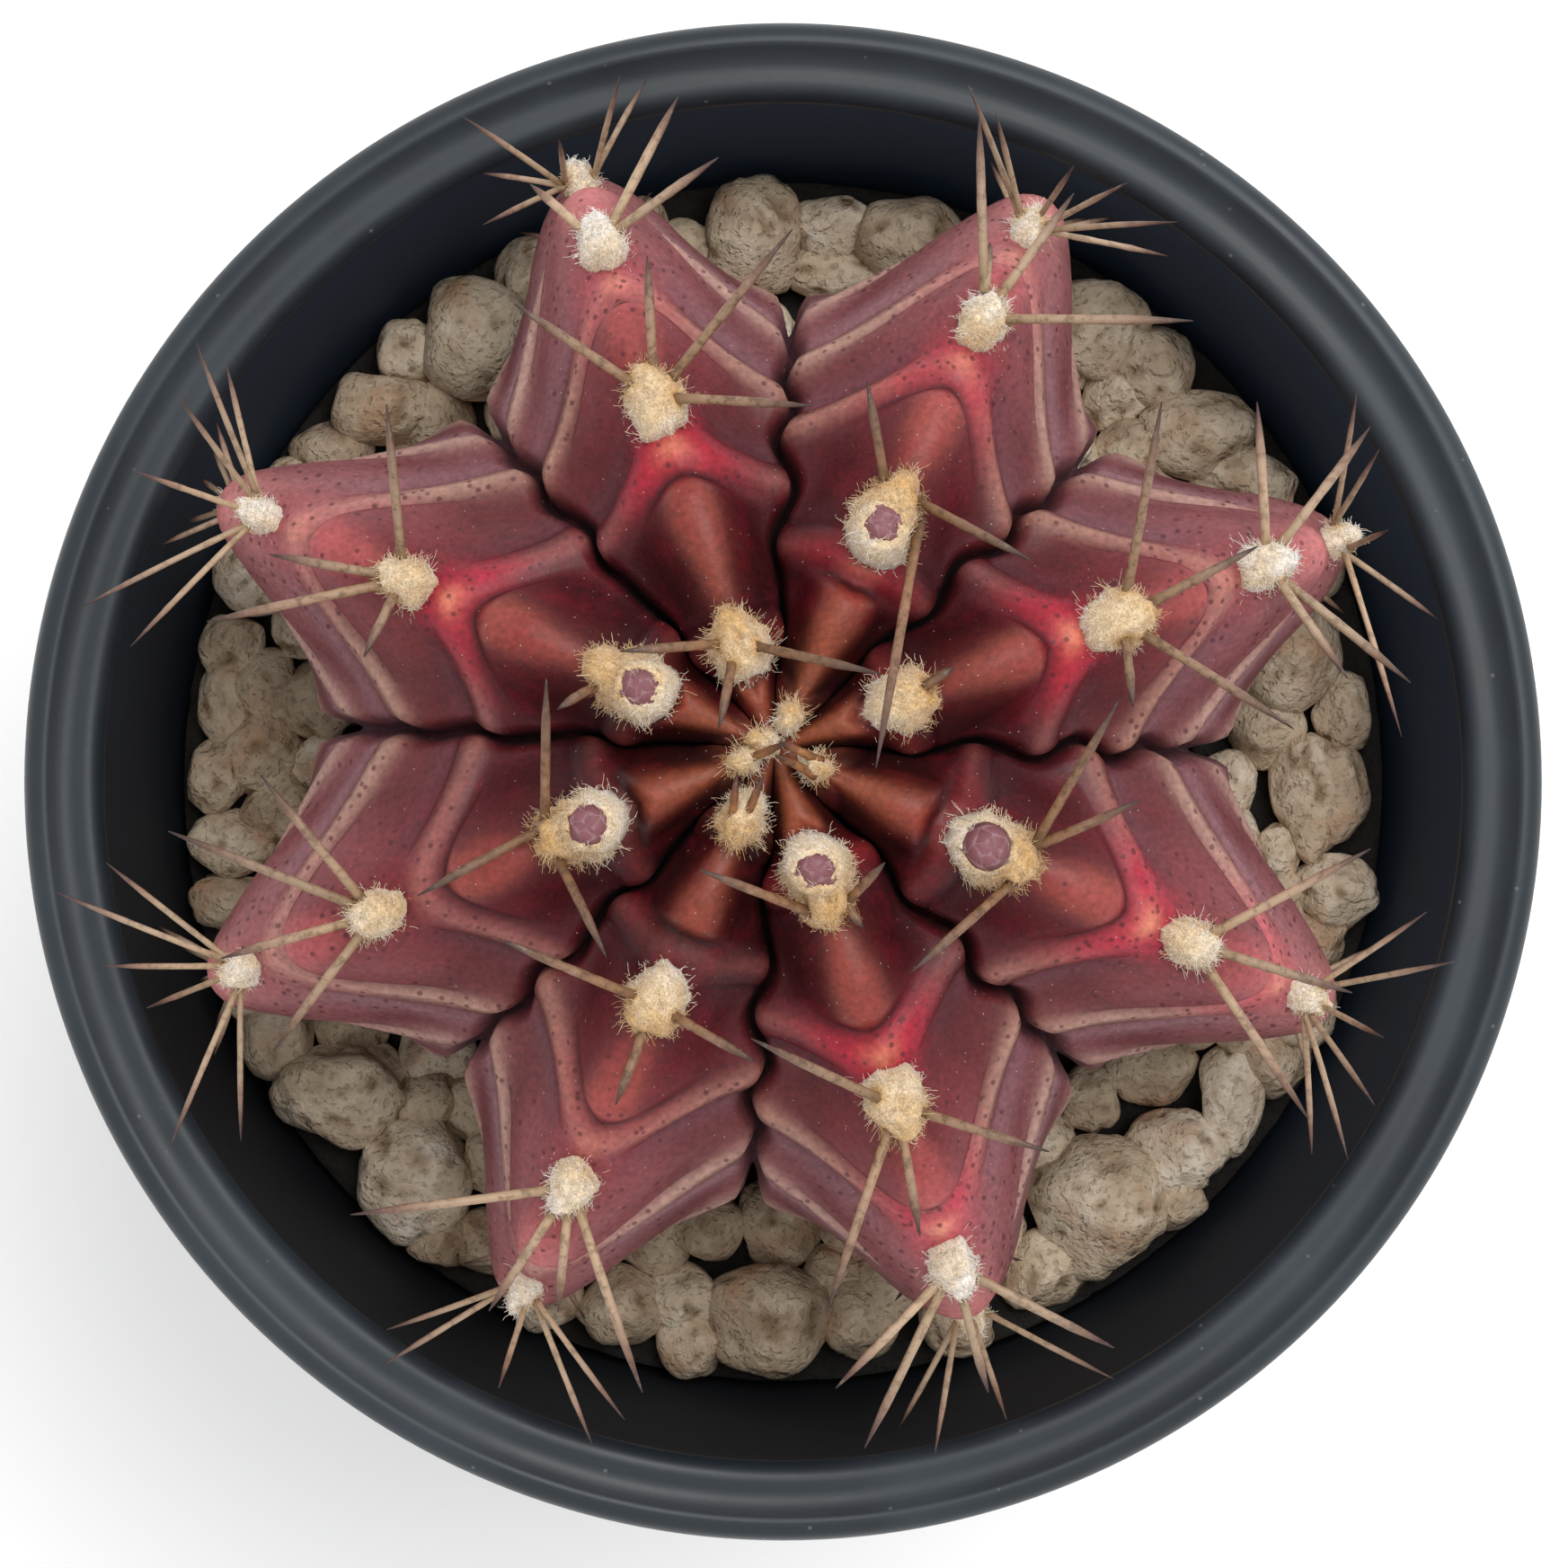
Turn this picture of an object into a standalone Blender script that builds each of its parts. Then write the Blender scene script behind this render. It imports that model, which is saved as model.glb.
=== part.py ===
# Potted moon cactus: an eight-ribbed globe with banded flanks, wool, spines and buds, in a round nursery pot.
# The pot's foot stands on z = 0, its axis is the z axis, and +Y is the far side seen from straight above.

import math
import random
from collections import namedtuple

import bmesh
import bpy
import numpy as np
from mathutils import Matrix, Vector
from mathutils.bvhtree import BVHTree
from mathutils.geometry import intersect_point_line

MM = 0.001

# Pot
RIM_RADIUS = 38.0 * MM
POT_HEIGHT = 68.0 * MM
RIM_BAND = 3.4 * MM
RIM_LIP_DROP = 7.5 * MM
RIM_ROUNDING = 0.7 * MM
RIM_TAPER = 0.5 * MM
WALL = 1.2 * MM
WALL_TAPER = 0.17
FOOT_HEIGHT = 2.2 * MM
FOOT_WIDTH = 2.4 * MM
FLOOR_THICKNESS = 1.4 * MM
DRAIN_RADIUS = 2.6 * MM
DRAIN_RING = 14.0 * MM
DRAIN_COUNT = 6
DRAIN_SIDES = 12
FIRST_DRAIN = math.radians(30)
POT_SIDES = 48
SHARP_EDGE = math.radians(35)

# Soil and stones
GAP = 0.3 * MM
SOIL_TOP = 49.6 * MM
SOIL_SIDES = 24
SOIL_SLACK = 0.3 * MM
ROOT_HOLE_SIDES = 24
ROOT_HOLE_MOUTH = 16.4 * MM
ROOT_ROOM = 0.9 * MM
ROOT_CUT_ABOVE = 2.0 * MM
BED_TOP = 51.8 * MM
BED_THICKNESS = 1.8 * MM
BED_HOLE = 21.4 * MM
STONE_LEVEL = 53.4 * MM
STONE_RING = (22.6 * MM, 30.6 * MM)
STONE_SEED = 11

# The plant stands a little off the pot's axis
PLANT_CENTRE = Vector((-0.4 * MM, 1.6 * MM, 0.0))
CREST_RADIUS = 29.3 * MM
EQUATOR_Z = POT_HEIGHT + 0.6 * MM
CROWN_RISE = 15.6 * MM
UNDER_DROP = 20.0 * MM
UNDER_LIMIT = math.radians(150)
NECK = ((8.6 * MM, 47.6 * MM), (4.6 * MM, 41.0 * MM), (2.4 * MM, 30.0 * MM))
ROOT_END = 28.6 * MM

# Rib section: 0 on the crest, 1 in the furrow
FURROW_CUT = 0.235
FURROW_SINK = 2.3 * MM
SLIT_DEPTH = 1.9 * MM
SLIT_START = 0.84
CREST_ROUNDING = 0.09
FLANK_PLUMP = 0.8
FLANK_HOLLOW = 1.95
FLANK_CHANGE = (6.0 * MM, 24.0 * MM)
SINK_GROWTH = 4.0 * MM
COLUMNS = (0.0, 0.12, 0.32, 0.58, 0.84)
ROW_STEP = 1.3 * MM
LOW_ROW_STEP = 2.6 * MM
LOW_ROWS_FROM = 38.0 * MM
CROWN_DIP = 0.35 * MM

# Bands, chins and creases, measured along the crest from the crown
TIER = 9.0 * MM
ARM_LEAD = 2.6 * MM
ARM_FULL_LEAD_AT = 12.0 * MM
ARM_EVEN_AT = 14.9 * MM
ARM_SLANT = 0.31
ARM_SHIFT_LIMITS = (-8.0 * MM, 2.0 * MM)
ARM_CURVE = 1.3
LEAST_LEAD = 0.35
ARM_WIDTH = 1.05 * MM
ARM_RISE = 0.9 * MM
ARM_ON_CREST = 0.55
ARM_START = (0.05, 0.35)
ARM_END = (1.0, 0.84)
LEAST_TIER = 0.25
CHIN_RISE = 1.4 * MM
CHIN_SPAN = (0.36, 0.62)
CHIN_END = (0.93, 0.80)
CHIN_HALF_WIDTH = 0.62
CREASE_DEPTH = 0.75 * MM
CREASE_PLACE = 0.885
CREASE_WIDTH = 0.05
SEAT_RISE = 0.35 * MM
SEAT_LENGTH = 1.8 * MM
SEAT_START = (0.0, 0.14)
SEAT_END = (0.42, 0.16)
CROWN_CALM = 8.0 * MM
FURROW_SWING = math.radians(2.3)
FURROW_BITE = 1.9 * MM

# Each rib: its crest's angle, the furrow's angle on its anticlockwise side, and how far each of its
# areoles lies from the crown along the crest
Rib = namedtuple("Rib", "letter crest furrow areoles")
RIBS = (
    Rib("d", -25.0, 0.0, (2.1, 11.6, 22.8, 32.0, 41.0, 50.0)),
    Rib("c", 20.5, 43.0, (6.5, 17.8, 26.7, 35.2, 44.0, 52.5)),
    Rib("b", 64.0, 88.0, (1.6, 12.1, 23.6, 31.2, 40.0, 49.0)),
    Rib("a", 109.0, 131.6, (5.2, 17.8, 27.4, 35.8, 44.5, 53.0)),
    Rib("h", 155.5, 177.0, (0.6, 7.5, 19.8, 29.8, 38.4, 47.2)),
    Rib("g", 202.5, 226.0, (1.5, 10.0, 21.2, 31.0, 39.2, 47.8)),
    Rib("f", 245.0, 267.0, (3.7, 13.4, 24.2, 33.8, 42.8, 51.5)),
    Rib("e", 289.0, 313.0, (6.6, 18.2, 28.4, 36.8, 45.5, 54.0)),
)
CROWN_LIMIT = 3.0 * MM
LAST_AREOLE = 46.0 * MM

# Wool pads: length along the rib, width and height, from the young ones to the old ones
PAD_NEW = (2.5 * MM, 2.1 * MM, 1.3 * MM)
PAD_YOUNG = (3.4 * MM, 2.9 * MM, 1.5 * MM)
PAD_FULL = (3.9 * MM, 3.1 * MM, 1.7 * MM)
PAD_OLD = (3.0 * MM, 2.5 * MM, 1.3 * MM)
PAD_AGES = ((4.5 * MM, PAD_NEW), (9.0 * MM, PAD_YOUNG), (29.0 * MM, PAD_FULL), (math.inf, PAD_OLD))
PAD_SIDES = 8
PAD_LAYERS = ((0.5, 0.0), (1.0, 0.25), (0.72, 0.85))
PAD_UNEVEN = 0.08
PAD_CLEARANCE = 0.36 * MM
PAD_RISE = 0.08 * MM
PAD_RISE_STEPS = 8
SEAT_STEP = 1.6 * MM
SKIN_SEARCH = (4.0 * MM, 9.0 * MM)
CROWN_TUFT = (2.1 * MM, 1.8 * MM, 1.2 * MM)
CROWN_CORE = (3.0 * MM, 0.9 * MM)
CROWN_CORE_FACETS = (8, 4)
CROWN_LIFT = 0.45 * MM

# Spines
SPINE_RADIUS = 0.25 * MM
SPINE_THIN = 0.16 * MM
SPINE_SIDES = 3
SPINE_RISE = math.radians(25)
STEEPEST_FALL = math.radians(-42)
THIN_SPINES_FROM = 29.0 * MM
SPINE_SPREAD = 0.75 * MM
SPINE_ROOT_LEVEL = 0.6 * MM
SPINE_LENGTH = 8.8 * MM
SPINE_BOW = 0.07
SPINE_CLEARANCE = 0.35 * MM
SPINE_GAP = 0.25 * MM
WALL_CLEARANCE = 0.7 * MM
STONE_CLEARANCE = 4.2 * MM
PAD_REACH = 2.9 * MM
LIFT_STEP = 0.45 * MM
LIFT_STEPS = 20
SHORTENINGS = 7
SHORTENING = 0.09
OUTER_RISE = 0.75
OUTER_FALL = -0.4
HIDDEN_SPINES = 5
HIDDEN_FAN = math.radians(80)
HIDDEN_FAN_UNEVEN = math.radians(8)
HIDDEN_OUTWARD = 0.75
HIDDEN_SPINE_LENGTH = 4.6 * MM
CROWN_SPINE_LENGTH = 2.7 * MM
CROWN_SPINE_RISE = math.radians(40)
CROWN_SPINES = {"crown_d": (-0.3 * MM, 0.35 * MM), "crown_g": (0.0,)}
SPINE_SEED = 5

# Buds sit in the crownward half of a young pad
BUD_RADIUS = 1.15 * MM
BUD_HEIGHT = 2.3 * MM
BUD_LIFT = 0.95 * MM
BUD_SCALE_RISE = 0.12 * MM
BUD_SHAPE = (0.85, 0.75)
BUD_SIDES = 8
BUD_RINGS = 5
BUD_OFFSET = 0.85 * MM
BUD_SPINES_DOWN = 1.45 * MM
BUD_PASSING = (0.9 * MM, 1.45 * MM)
BUD_PAD = (5.3 * MM, 4.2 * MM, 1.7 * MM)
BUD_AREOLES = ("b2", "d2", "e1", "g2", "h2")

# The photograph looks straight down the pot's axis; its places are pixels of a frame 1745 wide
PHOTO_CENTRE = (871.5, 870.0)
PHOTO_RIM_PX = 847.0
CAMERA_ABOVE_RIM = 360.0 * MM

# Where each spine's tip shows, by areole
SPINE_TIPS = {
    "a1": ((690, 725), (980, 750), (800, 810)),
    "a2": ((572, 338), (720, 285), (882, 255), (905, 452)),
    "a3": ((590, 205), (755, 107), (800, 175)),
    "a4": ((515, 130), (538, 197), (538, 250), (690, 85), (622, 155), (720, 95)),
    "b2": ((965, 425), (1148, 624), (975, 855)),
    "b3": ((1090, 130), (1102, 270), (1195, 215), (1328, 357)),
    "b4": ((1078, 95), (1108, 125), (1195, 185), (1255, 203), (1310, 247), (1300, 285)),
    "c1": ((1062, 742), (985, 815)),
    "c2": ((1293, 447), (1400, 608), (1440, 811), (1261, 787)),
    "c3": ((1399, 447), (1570, 760), (1500, 755), (1525, 475)),
    "c4": ((1510, 437), (1535, 500), (1545, 590), (1600, 690), (1560, 820)),
    "d2": ((1245, 780), (1270, 890), (1013, 1083)),
    "d3": ((1525, 945), (1456, 1245), (1505, 1105)),
    "d4": ((1588, 1015), (1620, 1070), (1540, 1155), (1530, 1230), (1500, 1290), (1460, 1285)),
    "e1": ((778, 968), (985, 960), (960, 1032)),
    "e2": ((836, 1156), (922, 1456), (1024, 1376), (1168, 1282)),
    "e3": ((930, 1545), (962, 1612), (1100, 1550), (1240, 1500)),
    "e4": ((1240, 1535), (1040, 1620), (1120, 1580), (1000, 1590)),
    "f1": ((820, 857), (851, 876)),
    "f2": ((555, 1045), (841, 1182), (685, 1230)),
    "f3": ((390, 1352), (544, 1459), (621, 1460), (715, 1550)),
    "f4": ((430, 1480), (425, 1520), (555, 1545), (660, 1610), (695, 1580)),
    "g2": ((608, 755), (465, 997), (675, 1066)),
    "g3": ((290, 863), (187, 925), (245, 1067), (304, 1170)),
    "g4": ((62, 993), (118, 960), (115, 1075), (163, 1122), (190, 1275), (268, 1270)),
    "h2": ((665, 735), (620, 790)),
    "h3": ((430, 450), (300, 617), (230, 692), (405, 731)),
    "h4": ((218, 380), (252, 405), (197, 440), (150, 525), (92, 675), (145, 720)),
}

# Stones that show round the plant: centre and size
STONES_SEEN = (
    (840, 240, 100, 130), (930, 225, 90, 70), (1015, 245, 110, 100), (930, 300, 100, 60),
    (520, 365, 130, 120), (410, 445, 110, 80), (1235, 345, 110, 100), (1370, 450, 130, 90),
    (1390, 530, 110, 70), (215, 780, 60, 90), (235, 860, 70, 80), (290, 760, 70, 80),
    (260, 935, 90, 70), (255, 1005, 90, 60), (340, 1240, 130, 120), (465, 1315, 120, 130),
    (540, 1385, 80, 70), (690, 1455, 90, 80), (765, 1445, 90, 70), (858, 1470, 135, 110),
    (960, 1470, 80, 90), (1240, 1370, 150, 140), (1310, 1280, 110, 80), (1370, 1220, 70, 110),
    (1180, 1320, 70, 70), (1495, 995, 90, 80), (1455, 880, 80, 140), (1520, 890, 70, 110),
    (1420, 950, 60, 60), (1450, 720, 130, 170), (1520, 790, 60, 80),
)
EXTRA_STONES = 50
STONE_TRIES = 6000
STONE_SIZES = (3.6 * MM, 5.0 * MM)
STONE_CROWDING = 0.32
STONE_UNEVEN = 0.13
STONE_FLATNESS = 0.88
STONE_SUNK = 0.3
STONE_ROOT_WIDTH = 0.57
LEAST_STONE = 1.6 * MM
SEEN_GROWTH = 1.12
SEEN_FACETING = (6, 4)
EXTRA_FACETING = (5, 3)


def clear_scene():
    for obj in list(bpy.data.objects):
        bpy.data.objects.remove(obj, do_unlink=True)


def new_collection(name):
    collection = bpy.data.collections.new(name)
    bpy.context.scene.collection.children.link(collection)
    return collection


def make_material(name, colour, roughness):
    material = bpy.data.materials.new(name)
    material.use_nodes = True
    shader = material.node_tree.nodes["Principled BSDF"]
    shader.inputs["Base Color"].default_value = (*colour, 1.0)
    shader.inputs["Roughness"].default_value = roughness
    shader.inputs["Metallic"].default_value = 0.0
    return material


def add_object(name, mesh, collection, material=None):
    obj = bpy.data.objects.new(name, mesh)
    collection.objects.link(obj)
    if material:
        mesh.materials.clear()
        mesh.materials.append(material)
    return obj


def mesh_from(name, points, faces):
    mesh = bpy.data.meshes.new(name)
    mesh.from_pydata([tuple(point) for point in points], [], faces)
    mesh.update()
    return mesh


def apply_modifiers(obj):
    """Keep the shape that the object's modifiers give and drop the modifiers."""
    graph = bpy.context.evaluated_depsgraph_get()
    shaped = bpy.data.meshes.new_from_object(obj.evaluated_get(graph))
    obj.modifiers.clear()
    obj.data = shaped


def turned(name, profile, sides, collection, material=None):
    """Turn a closed profile of (radius, height) points round the z axis; it runs down its outer side."""
    points = [(radius, 0.0, height) for radius, height in profile]
    mesh = bpy.data.meshes.new(name)
    ring = list(zip(range(len(points)), range(1, len(points))))
    on_axis = profile[0][0] == 0.0 and profile[-1][0] == 0.0
    if not on_axis:
        ring.append((len(points) - 1, 0))
    mesh.from_pydata(points, ring, [])
    obj = add_object(name, mesh, collection, material)
    screw = obj.modifiers.new("turn", "SCREW")
    screw.steps = sides
    screw.render_steps = sides
    screw.use_merge_vertices = True
    screw.merge_threshold = 0.01 * MM
    return obj


def unite(obj, pieces, collection):
    """Fuse the pieces in a collection into the object, then drop them."""
    union = obj.modifiers.new("fuse", "BOOLEAN")
    union.operation = "UNION"
    union.operand_type = "COLLECTION"
    union.collection = collection
    union.solver = "MANIFOLD"
    apply_modifiers(obj)
    for piece in pieces:
        bpy.data.objects.remove(piece, do_unlink=True)


def cut(obj, cutter):
    difference = obj.modifiers.new("cut", "BOOLEAN")
    difference.operation = "DIFFERENCE"
    difference.object = cutter
    difference.solver = "EXACT"


def inner_wall(height):
    return RIM_RADIUS - RIM_BAND - (POT_HEIGHT - height) * WALL_TAPER


def photo_point(pixel, height):
    """The point at this height that shows at this pixel."""
    scale = RIM_RADIUS / PHOTO_RIM_PX * (CAMERA_ABOVE_RIM - height + POT_HEIGHT) / CAMERA_ABOVE_RIM
    return Vector(((pixel[0] - PHOTO_CENTRE[0]) * scale, (PHOTO_CENTRE[1] - pixel[1]) * scale, height))


def smooth_step(low, high, value):
    ramp = np.clip((value - low) / (high - low), 0.0, 1.0)
    return ramp * ramp * (3.0 - 2.0 * ramp)


def build_pot(parts, cutters, material):
    """A wall with a turned-out rim band, a floor on a foot ring, and drain holes."""
    lip_z = POT_HEIGHT - RIM_LIP_DROP
    floor_z = FOOT_HEIGHT + FLOOR_THICKNESS
    foot_outer = inner_wall(0.0) + WALL
    profile = (
        (0.0, floor_z),
        (inner_wall(floor_z), floor_z),
        (inner_wall(lip_z), lip_z),
        (RIM_RADIUS - RIM_BAND, POT_HEIGHT - RIM_ROUNDING),
        (RIM_RADIUS - RIM_BAND + RIM_TAPER, POT_HEIGHT),
        (RIM_RADIUS - RIM_ROUNDING, POT_HEIGHT),
        (RIM_RADIUS, POT_HEIGHT - RIM_ROUNDING),
        (RIM_RADIUS - RIM_TAPER, lip_z),
        (RIM_RADIUS - RIM_TAPER - WALL, lip_z),
        (inner_wall(lip_z) + WALL, lip_z + WALL),
        (foot_outer, 0.0),
        (foot_outer - FOOT_WIDTH, 0.0),
        (foot_outer - FOOT_WIDTH - RIM_TAPER, FOOT_HEIGHT),
        (0.0, FOOT_HEIGHT),
    )
    pot = turned("pot", profile, POT_SIDES, parts, material)
    apply_modifiers(pot)
    for index in range(DRAIN_COUNT):
        angle = FIRST_DRAIN + index * math.tau / DRAIN_COUNT
        bpy.ops.mesh.primitive_cylinder_add(vertices=DRAIN_SIDES, radius=DRAIN_RADIUS, depth=6 * FOOT_HEIGHT)
        drill = bpy.context.object
        drill.name = f"drain_cutter_{index + 1}"
        drill.location = (DRAIN_RING * math.cos(angle), DRAIN_RING * math.sin(angle), FOOT_HEIGHT)
        for home in list(drill.users_collection):
            home.objects.unlink(drill)
        cutters.objects.link(drill)
        drill.hide_render = True
        drill.display_type = "WIRE"
        cut(pot, drill)
    pot.data.shade_smooth()
    pot.data.set_sharp_from_angle(angle=SHARP_EDGE)
    return pot


def crest_table():
    """Arc length, radius and height along the plain crest, from the crown to under the body."""
    angle = np.linspace(0.0, UNDER_LIMIT, 601)
    radius = CREST_RADIUS * np.sin(angle)
    rise = np.where(angle < math.pi / 2, CROWN_RISE, UNDER_DROP) * np.cos(angle)
    step = np.hypot(np.diff(radius), np.diff(rise))
    arc = np.concatenate(([0.0], np.cumsum(step)))
    return arc, radius, rise


CREST_ARC, CREST_OUT, CREST_UP = crest_table()


def arm_end_shift(mark):
    """How far past its areole, along the crest, an arm meets the furrow."""
    return np.clip(ARM_SLANT * (ARM_EVEN_AT - mark), *ARM_SHIFT_LIMITS)


def arm_line(mark, across):
    """The arc at which the arm of the areole at this mark crosses the flank."""
    lead = ARM_LEAD * np.clip(mark / ARM_FULL_LEAD_AT, LEAST_LEAD, 1.0)
    return mark - lead + (lead + arm_end_shift(mark)) * across ** ARM_CURVE


def marks_of(rib):
    marks = [mark * MM for mark in rib.areoles]
    return [marks[0] - TIER, *marks, marks[-1] + TIER]


def furrow_angle(index, arc):
    """The furrow past this rib swings where the blunt arm ends of either side push into it."""
    rib = RIBS[index]
    following = RIBS[(index + 1) % len(RIBS)]
    push = sum(np.exp(-((arc - mark - arm_end_shift(mark)) / FURROW_BITE) ** 2) for mark in marks_of(rib))
    pull = sum(np.exp(-((arc - mark - arm_end_shift(mark)) / FURROW_BITE) ** 2) for mark in marks_of(following))
    return math.radians(rib.furrow) + FURROW_SWING * (push - pull) * np.clip(arc / TIER, 0.0, 1.0)


def angle_at(index, side, across, arc):
    """Angle round the body of a point across the flank, on the clockwise (-1) or the other (+1) side."""
    crest = math.radians(RIBS[index].crest)
    if side > 0:
        span = furrow_angle(index, arc) - crest
    else:
        span = crest - furrow_angle(index - 1, arc)
    span = np.mod(span, math.tau)
    return crest + side * across * span


def plain_skin(index, side, across, arc):
    """The rib without its bands: plump near the crown, hollow-flanked further out, with a slit of a furrow."""
    out = np.interp(arc, CREST_ARC, CREST_OUT)
    rise = np.interp(arc, CREST_ARC, CREST_UP)
    rounded = (np.sqrt(across ** 2 + CREST_ROUNDING ** 2) - CREST_ROUNDING) / (
        math.sqrt(1 + CREST_ROUNDING ** 2) - CREST_ROUNDING)
    hollow = FLANK_PLUMP + (FLANK_HOLLOW - FLANK_PLUMP) * smooth_step(*FLANK_CHANGE, arc)
    depth = 1.0 - (1.0 - np.clip(rounded, 0.0, 1.0)) ** hollow
    upness = np.clip(rise / CROWN_RISE, 0.0, 1.0)
    growth = 1.0 - np.exp(-(arc / SINK_GROWTH) ** 2)
    slit = smooth_step(SLIT_START, 1.0, across) * SLIT_DEPTH * growth
    out_plain = out * (1.0 - FURROW_CUT * depth) - slit * (1.0 - upness)
    rise_plain = rise - FURROW_SINK * growth * depth * upness - slit * upness
    angle = angle_at(index, side, across, arc)
    x = PLANT_CENTRE.x + out_plain * np.cos(angle)
    y = PLANT_CENTRE.y + out_plain * np.sin(angle)
    return np.stack((x, y, EQUATOR_Z + rise_plain), axis=-1)


def relief(index, across, arc):
    """How far bands, chins and creases stand out of the plain rib."""
    lift = np.zeros(np.broadcast(across, arc).shape)
    marks = marks_of(RIBS[index])
    lines = [arm_line(mark, across) for mark in marks]
    reach = ARM_ON_CREST + (1.0 - ARM_ON_CREST) * smooth_step(*ARM_START, across)
    reach = reach * smooth_step(*ARM_END, across)
    for mark, near, far in zip(marks, lines, lines[1:]):
        tier = far - near
        place = (arc - near) / tier
        here = (place >= 0.0) & (place < 1.0)
        full = np.clip(tier / TIER, LEAST_TIER, 1.0)
        band = np.exp(-((place * tier) / (ARM_WIDTH * full)) ** 2)
        band += np.exp(-(((1.0 - place) * tier) / (ARM_WIDTH * full)) ** 2)
        chin = smooth_step(*CHIN_SPAN, place) * smooth_step(*CHIN_END, place)
        chin = chin * smooth_step(CHIN_HALF_WIDTH, 0.0, across)
        crease = np.exp(-((place - CREASE_PLACE) / CREASE_WIDTH) ** 2) * smooth_step(1.0, 0.5, across)
        shape = full * (ARM_RISE * reach * band + CHIN_RISE * chin - CREASE_DEPTH * crease)
        lift = np.where(here, shape, lift)
    seat = sum(np.exp(-((arc - mark) / SEAT_LENGTH) ** 2) for mark in marks)
    seat = seat * smooth_step(*SEAT_START, across) * smooth_step(*SEAT_END, across)
    return (lift + SEAT_RISE * seat) * smooth_step(0.0, CROWN_CALM, arc)


def skin_grid(rows, columns):
    """Points of the skin as rows of arcs by columns right round the body, with the bands raised."""
    plain = []
    lifts = []
    arc = np.array(rows)
    for index in range(len(RIBS)):
        flanks = [(-1, across) for across in (1.0, *reversed(columns))]
        flanks += [(1, across) for across in columns[1:]]
        for side, across in flanks:
            steady = np.full(arc.shape, across)
            plain.append(plain_skin(index, side, steady, arc))
            lifts.append(relief(index, steady, arc))
    plain = np.stack(plain, axis=1)
    lifts = np.stack(lifts, axis=1)
    along = np.gradient(plain, axis=0)
    around = np.roll(plain, -1, axis=1) - np.roll(plain, 1, axis=1)
    normal = np.cross(along, around)
    normal /= np.linalg.norm(normal, axis=-1, keepdims=True)
    return plain + normal * lifts[..., None]


def build_body(parts, material):
    rows = list(np.arange(ROW_STEP * 0.8, LOW_ROWS_FROM, ROW_STEP))
    rows += list(np.arange(rows[-1] + LOW_ROW_STEP, CREST_ARC[-1] - LOW_ROW_STEP / 2, LOW_ROW_STEP))
    rows.append(CREST_ARC[-1])
    grid = skin_grid(rows, COLUMNS)
    count = grid.shape[1]
    rings = [[Vector(point) for point in ring] for ring in grid]
    lowest = rings[-1]
    for radius, height in NECK:
        ring = []
        for point in lowest:
            flat = Vector((point.x, point.y, 0.0)) - PLANT_CENTRE
            ring.append(PLANT_CENTRE + flat.normalized() * radius + Vector((0.0, 0.0, height)))
        rings.append(ring)
    crown = Vector((PLANT_CENTRE.x, PLANT_CENTRE.y, EQUATOR_Z + CROWN_RISE - CROWN_DIP))
    root = Vector((PLANT_CENTRE.x, PLANT_CENTRE.y, ROOT_END))
    points = [point for ring in rings for point in ring] + [crown, root]
    faces = []
    for row in range(len(rings) - 1):
        for column in range(count):
            following = (column + 1) % count
            upper = row * count
            lower = upper + count
            faces.append((upper + column, lower + column, lower + following, upper + following))
    last = (len(rings) - 1) * count
    for column in range(count):
        following = (column + 1) % count
        faces.append((len(points) - 2, column, following))
        faces.append((len(points) - 1, last + following, last + column))
    mesh = mesh_from("cactus_body", points, faces)
    body = add_object("cactus_body", mesh, parts, material)
    mesh.shade_smooth()
    return body


# An areole's place: a point on the crest, the skin's outward normal, and the directions down and across
Seat = namedtuple("Seat", "name arc point normal down across")


def seat_at(name, index, arc):
    crest = math.radians(RIBS[index].crest)
    above, here, below = (
        np.array((np.interp(place, CREST_ARC, CREST_OUT), np.interp(place, CREST_ARC, CREST_UP)))
        for place in (arc - SEAT_STEP, arc, arc + SEAT_STEP))
    out, up = (below - above) / np.linalg.norm(below - above)
    spoke = Vector((math.cos(crest), math.sin(crest), 0.0))
    down = spoke * out + Vector((0.0, 0.0, up))
    normal = spoke * -up + Vector((0.0, 0.0, out))
    point = PLANT_CENTRE + spoke * here[0] + Vector((0.0, 0.0, EQUATOR_Z + here[1]))
    return Seat(name, arc, point, normal, down, normal.cross(down))


def all_seats():
    outer = []
    crown = []
    for index, rib in enumerate(RIBS):
        for number, mark in enumerate(rib.areoles, start=1):
            arc = mark * MM
            if arc < CROWN_LIMIT:
                crown.append(seat_at(f"crown_{rib.letter}", index, arc))
            elif arc < LAST_AREOLE:
                outer.append(seat_at(f"{rib.letter}{number}", index, arc))
    return outer, crown


def skin_below(tree, point, normal):
    """The skin under a point, looked for from outside along the normal."""
    outside, reach = SKIN_SEARCH
    hit = tree.ray_cast(point + normal * outside, -normal, reach)[0]
    return hit if hit else point


def pad_size(seat):
    if seat.name in BUD_AREOLES:
        return BUD_PAD
    return next(size for oldest, size in PAD_AGES if seat.arc < oldest)


def pad_mesh(name, seat, size, tree, lumps):
    """The tuft at the least height at which it clears the skin's bumps."""
    shape = lumps.getstate()
    for rise in range(PAD_RISE_STEPS):
        lumps.setstate(shape)
        mesh = pad_at(name, seat, size, tree, lumps, PAD_CLEARANCE + rise * PAD_RISE)
        faces = [tuple(face.vertices) for face in mesh.polygons]
        if not BVHTree.FromPolygons([vertex.co for vertex in mesh.vertices], faces).overlap(tree):
            break
    return mesh


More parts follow.
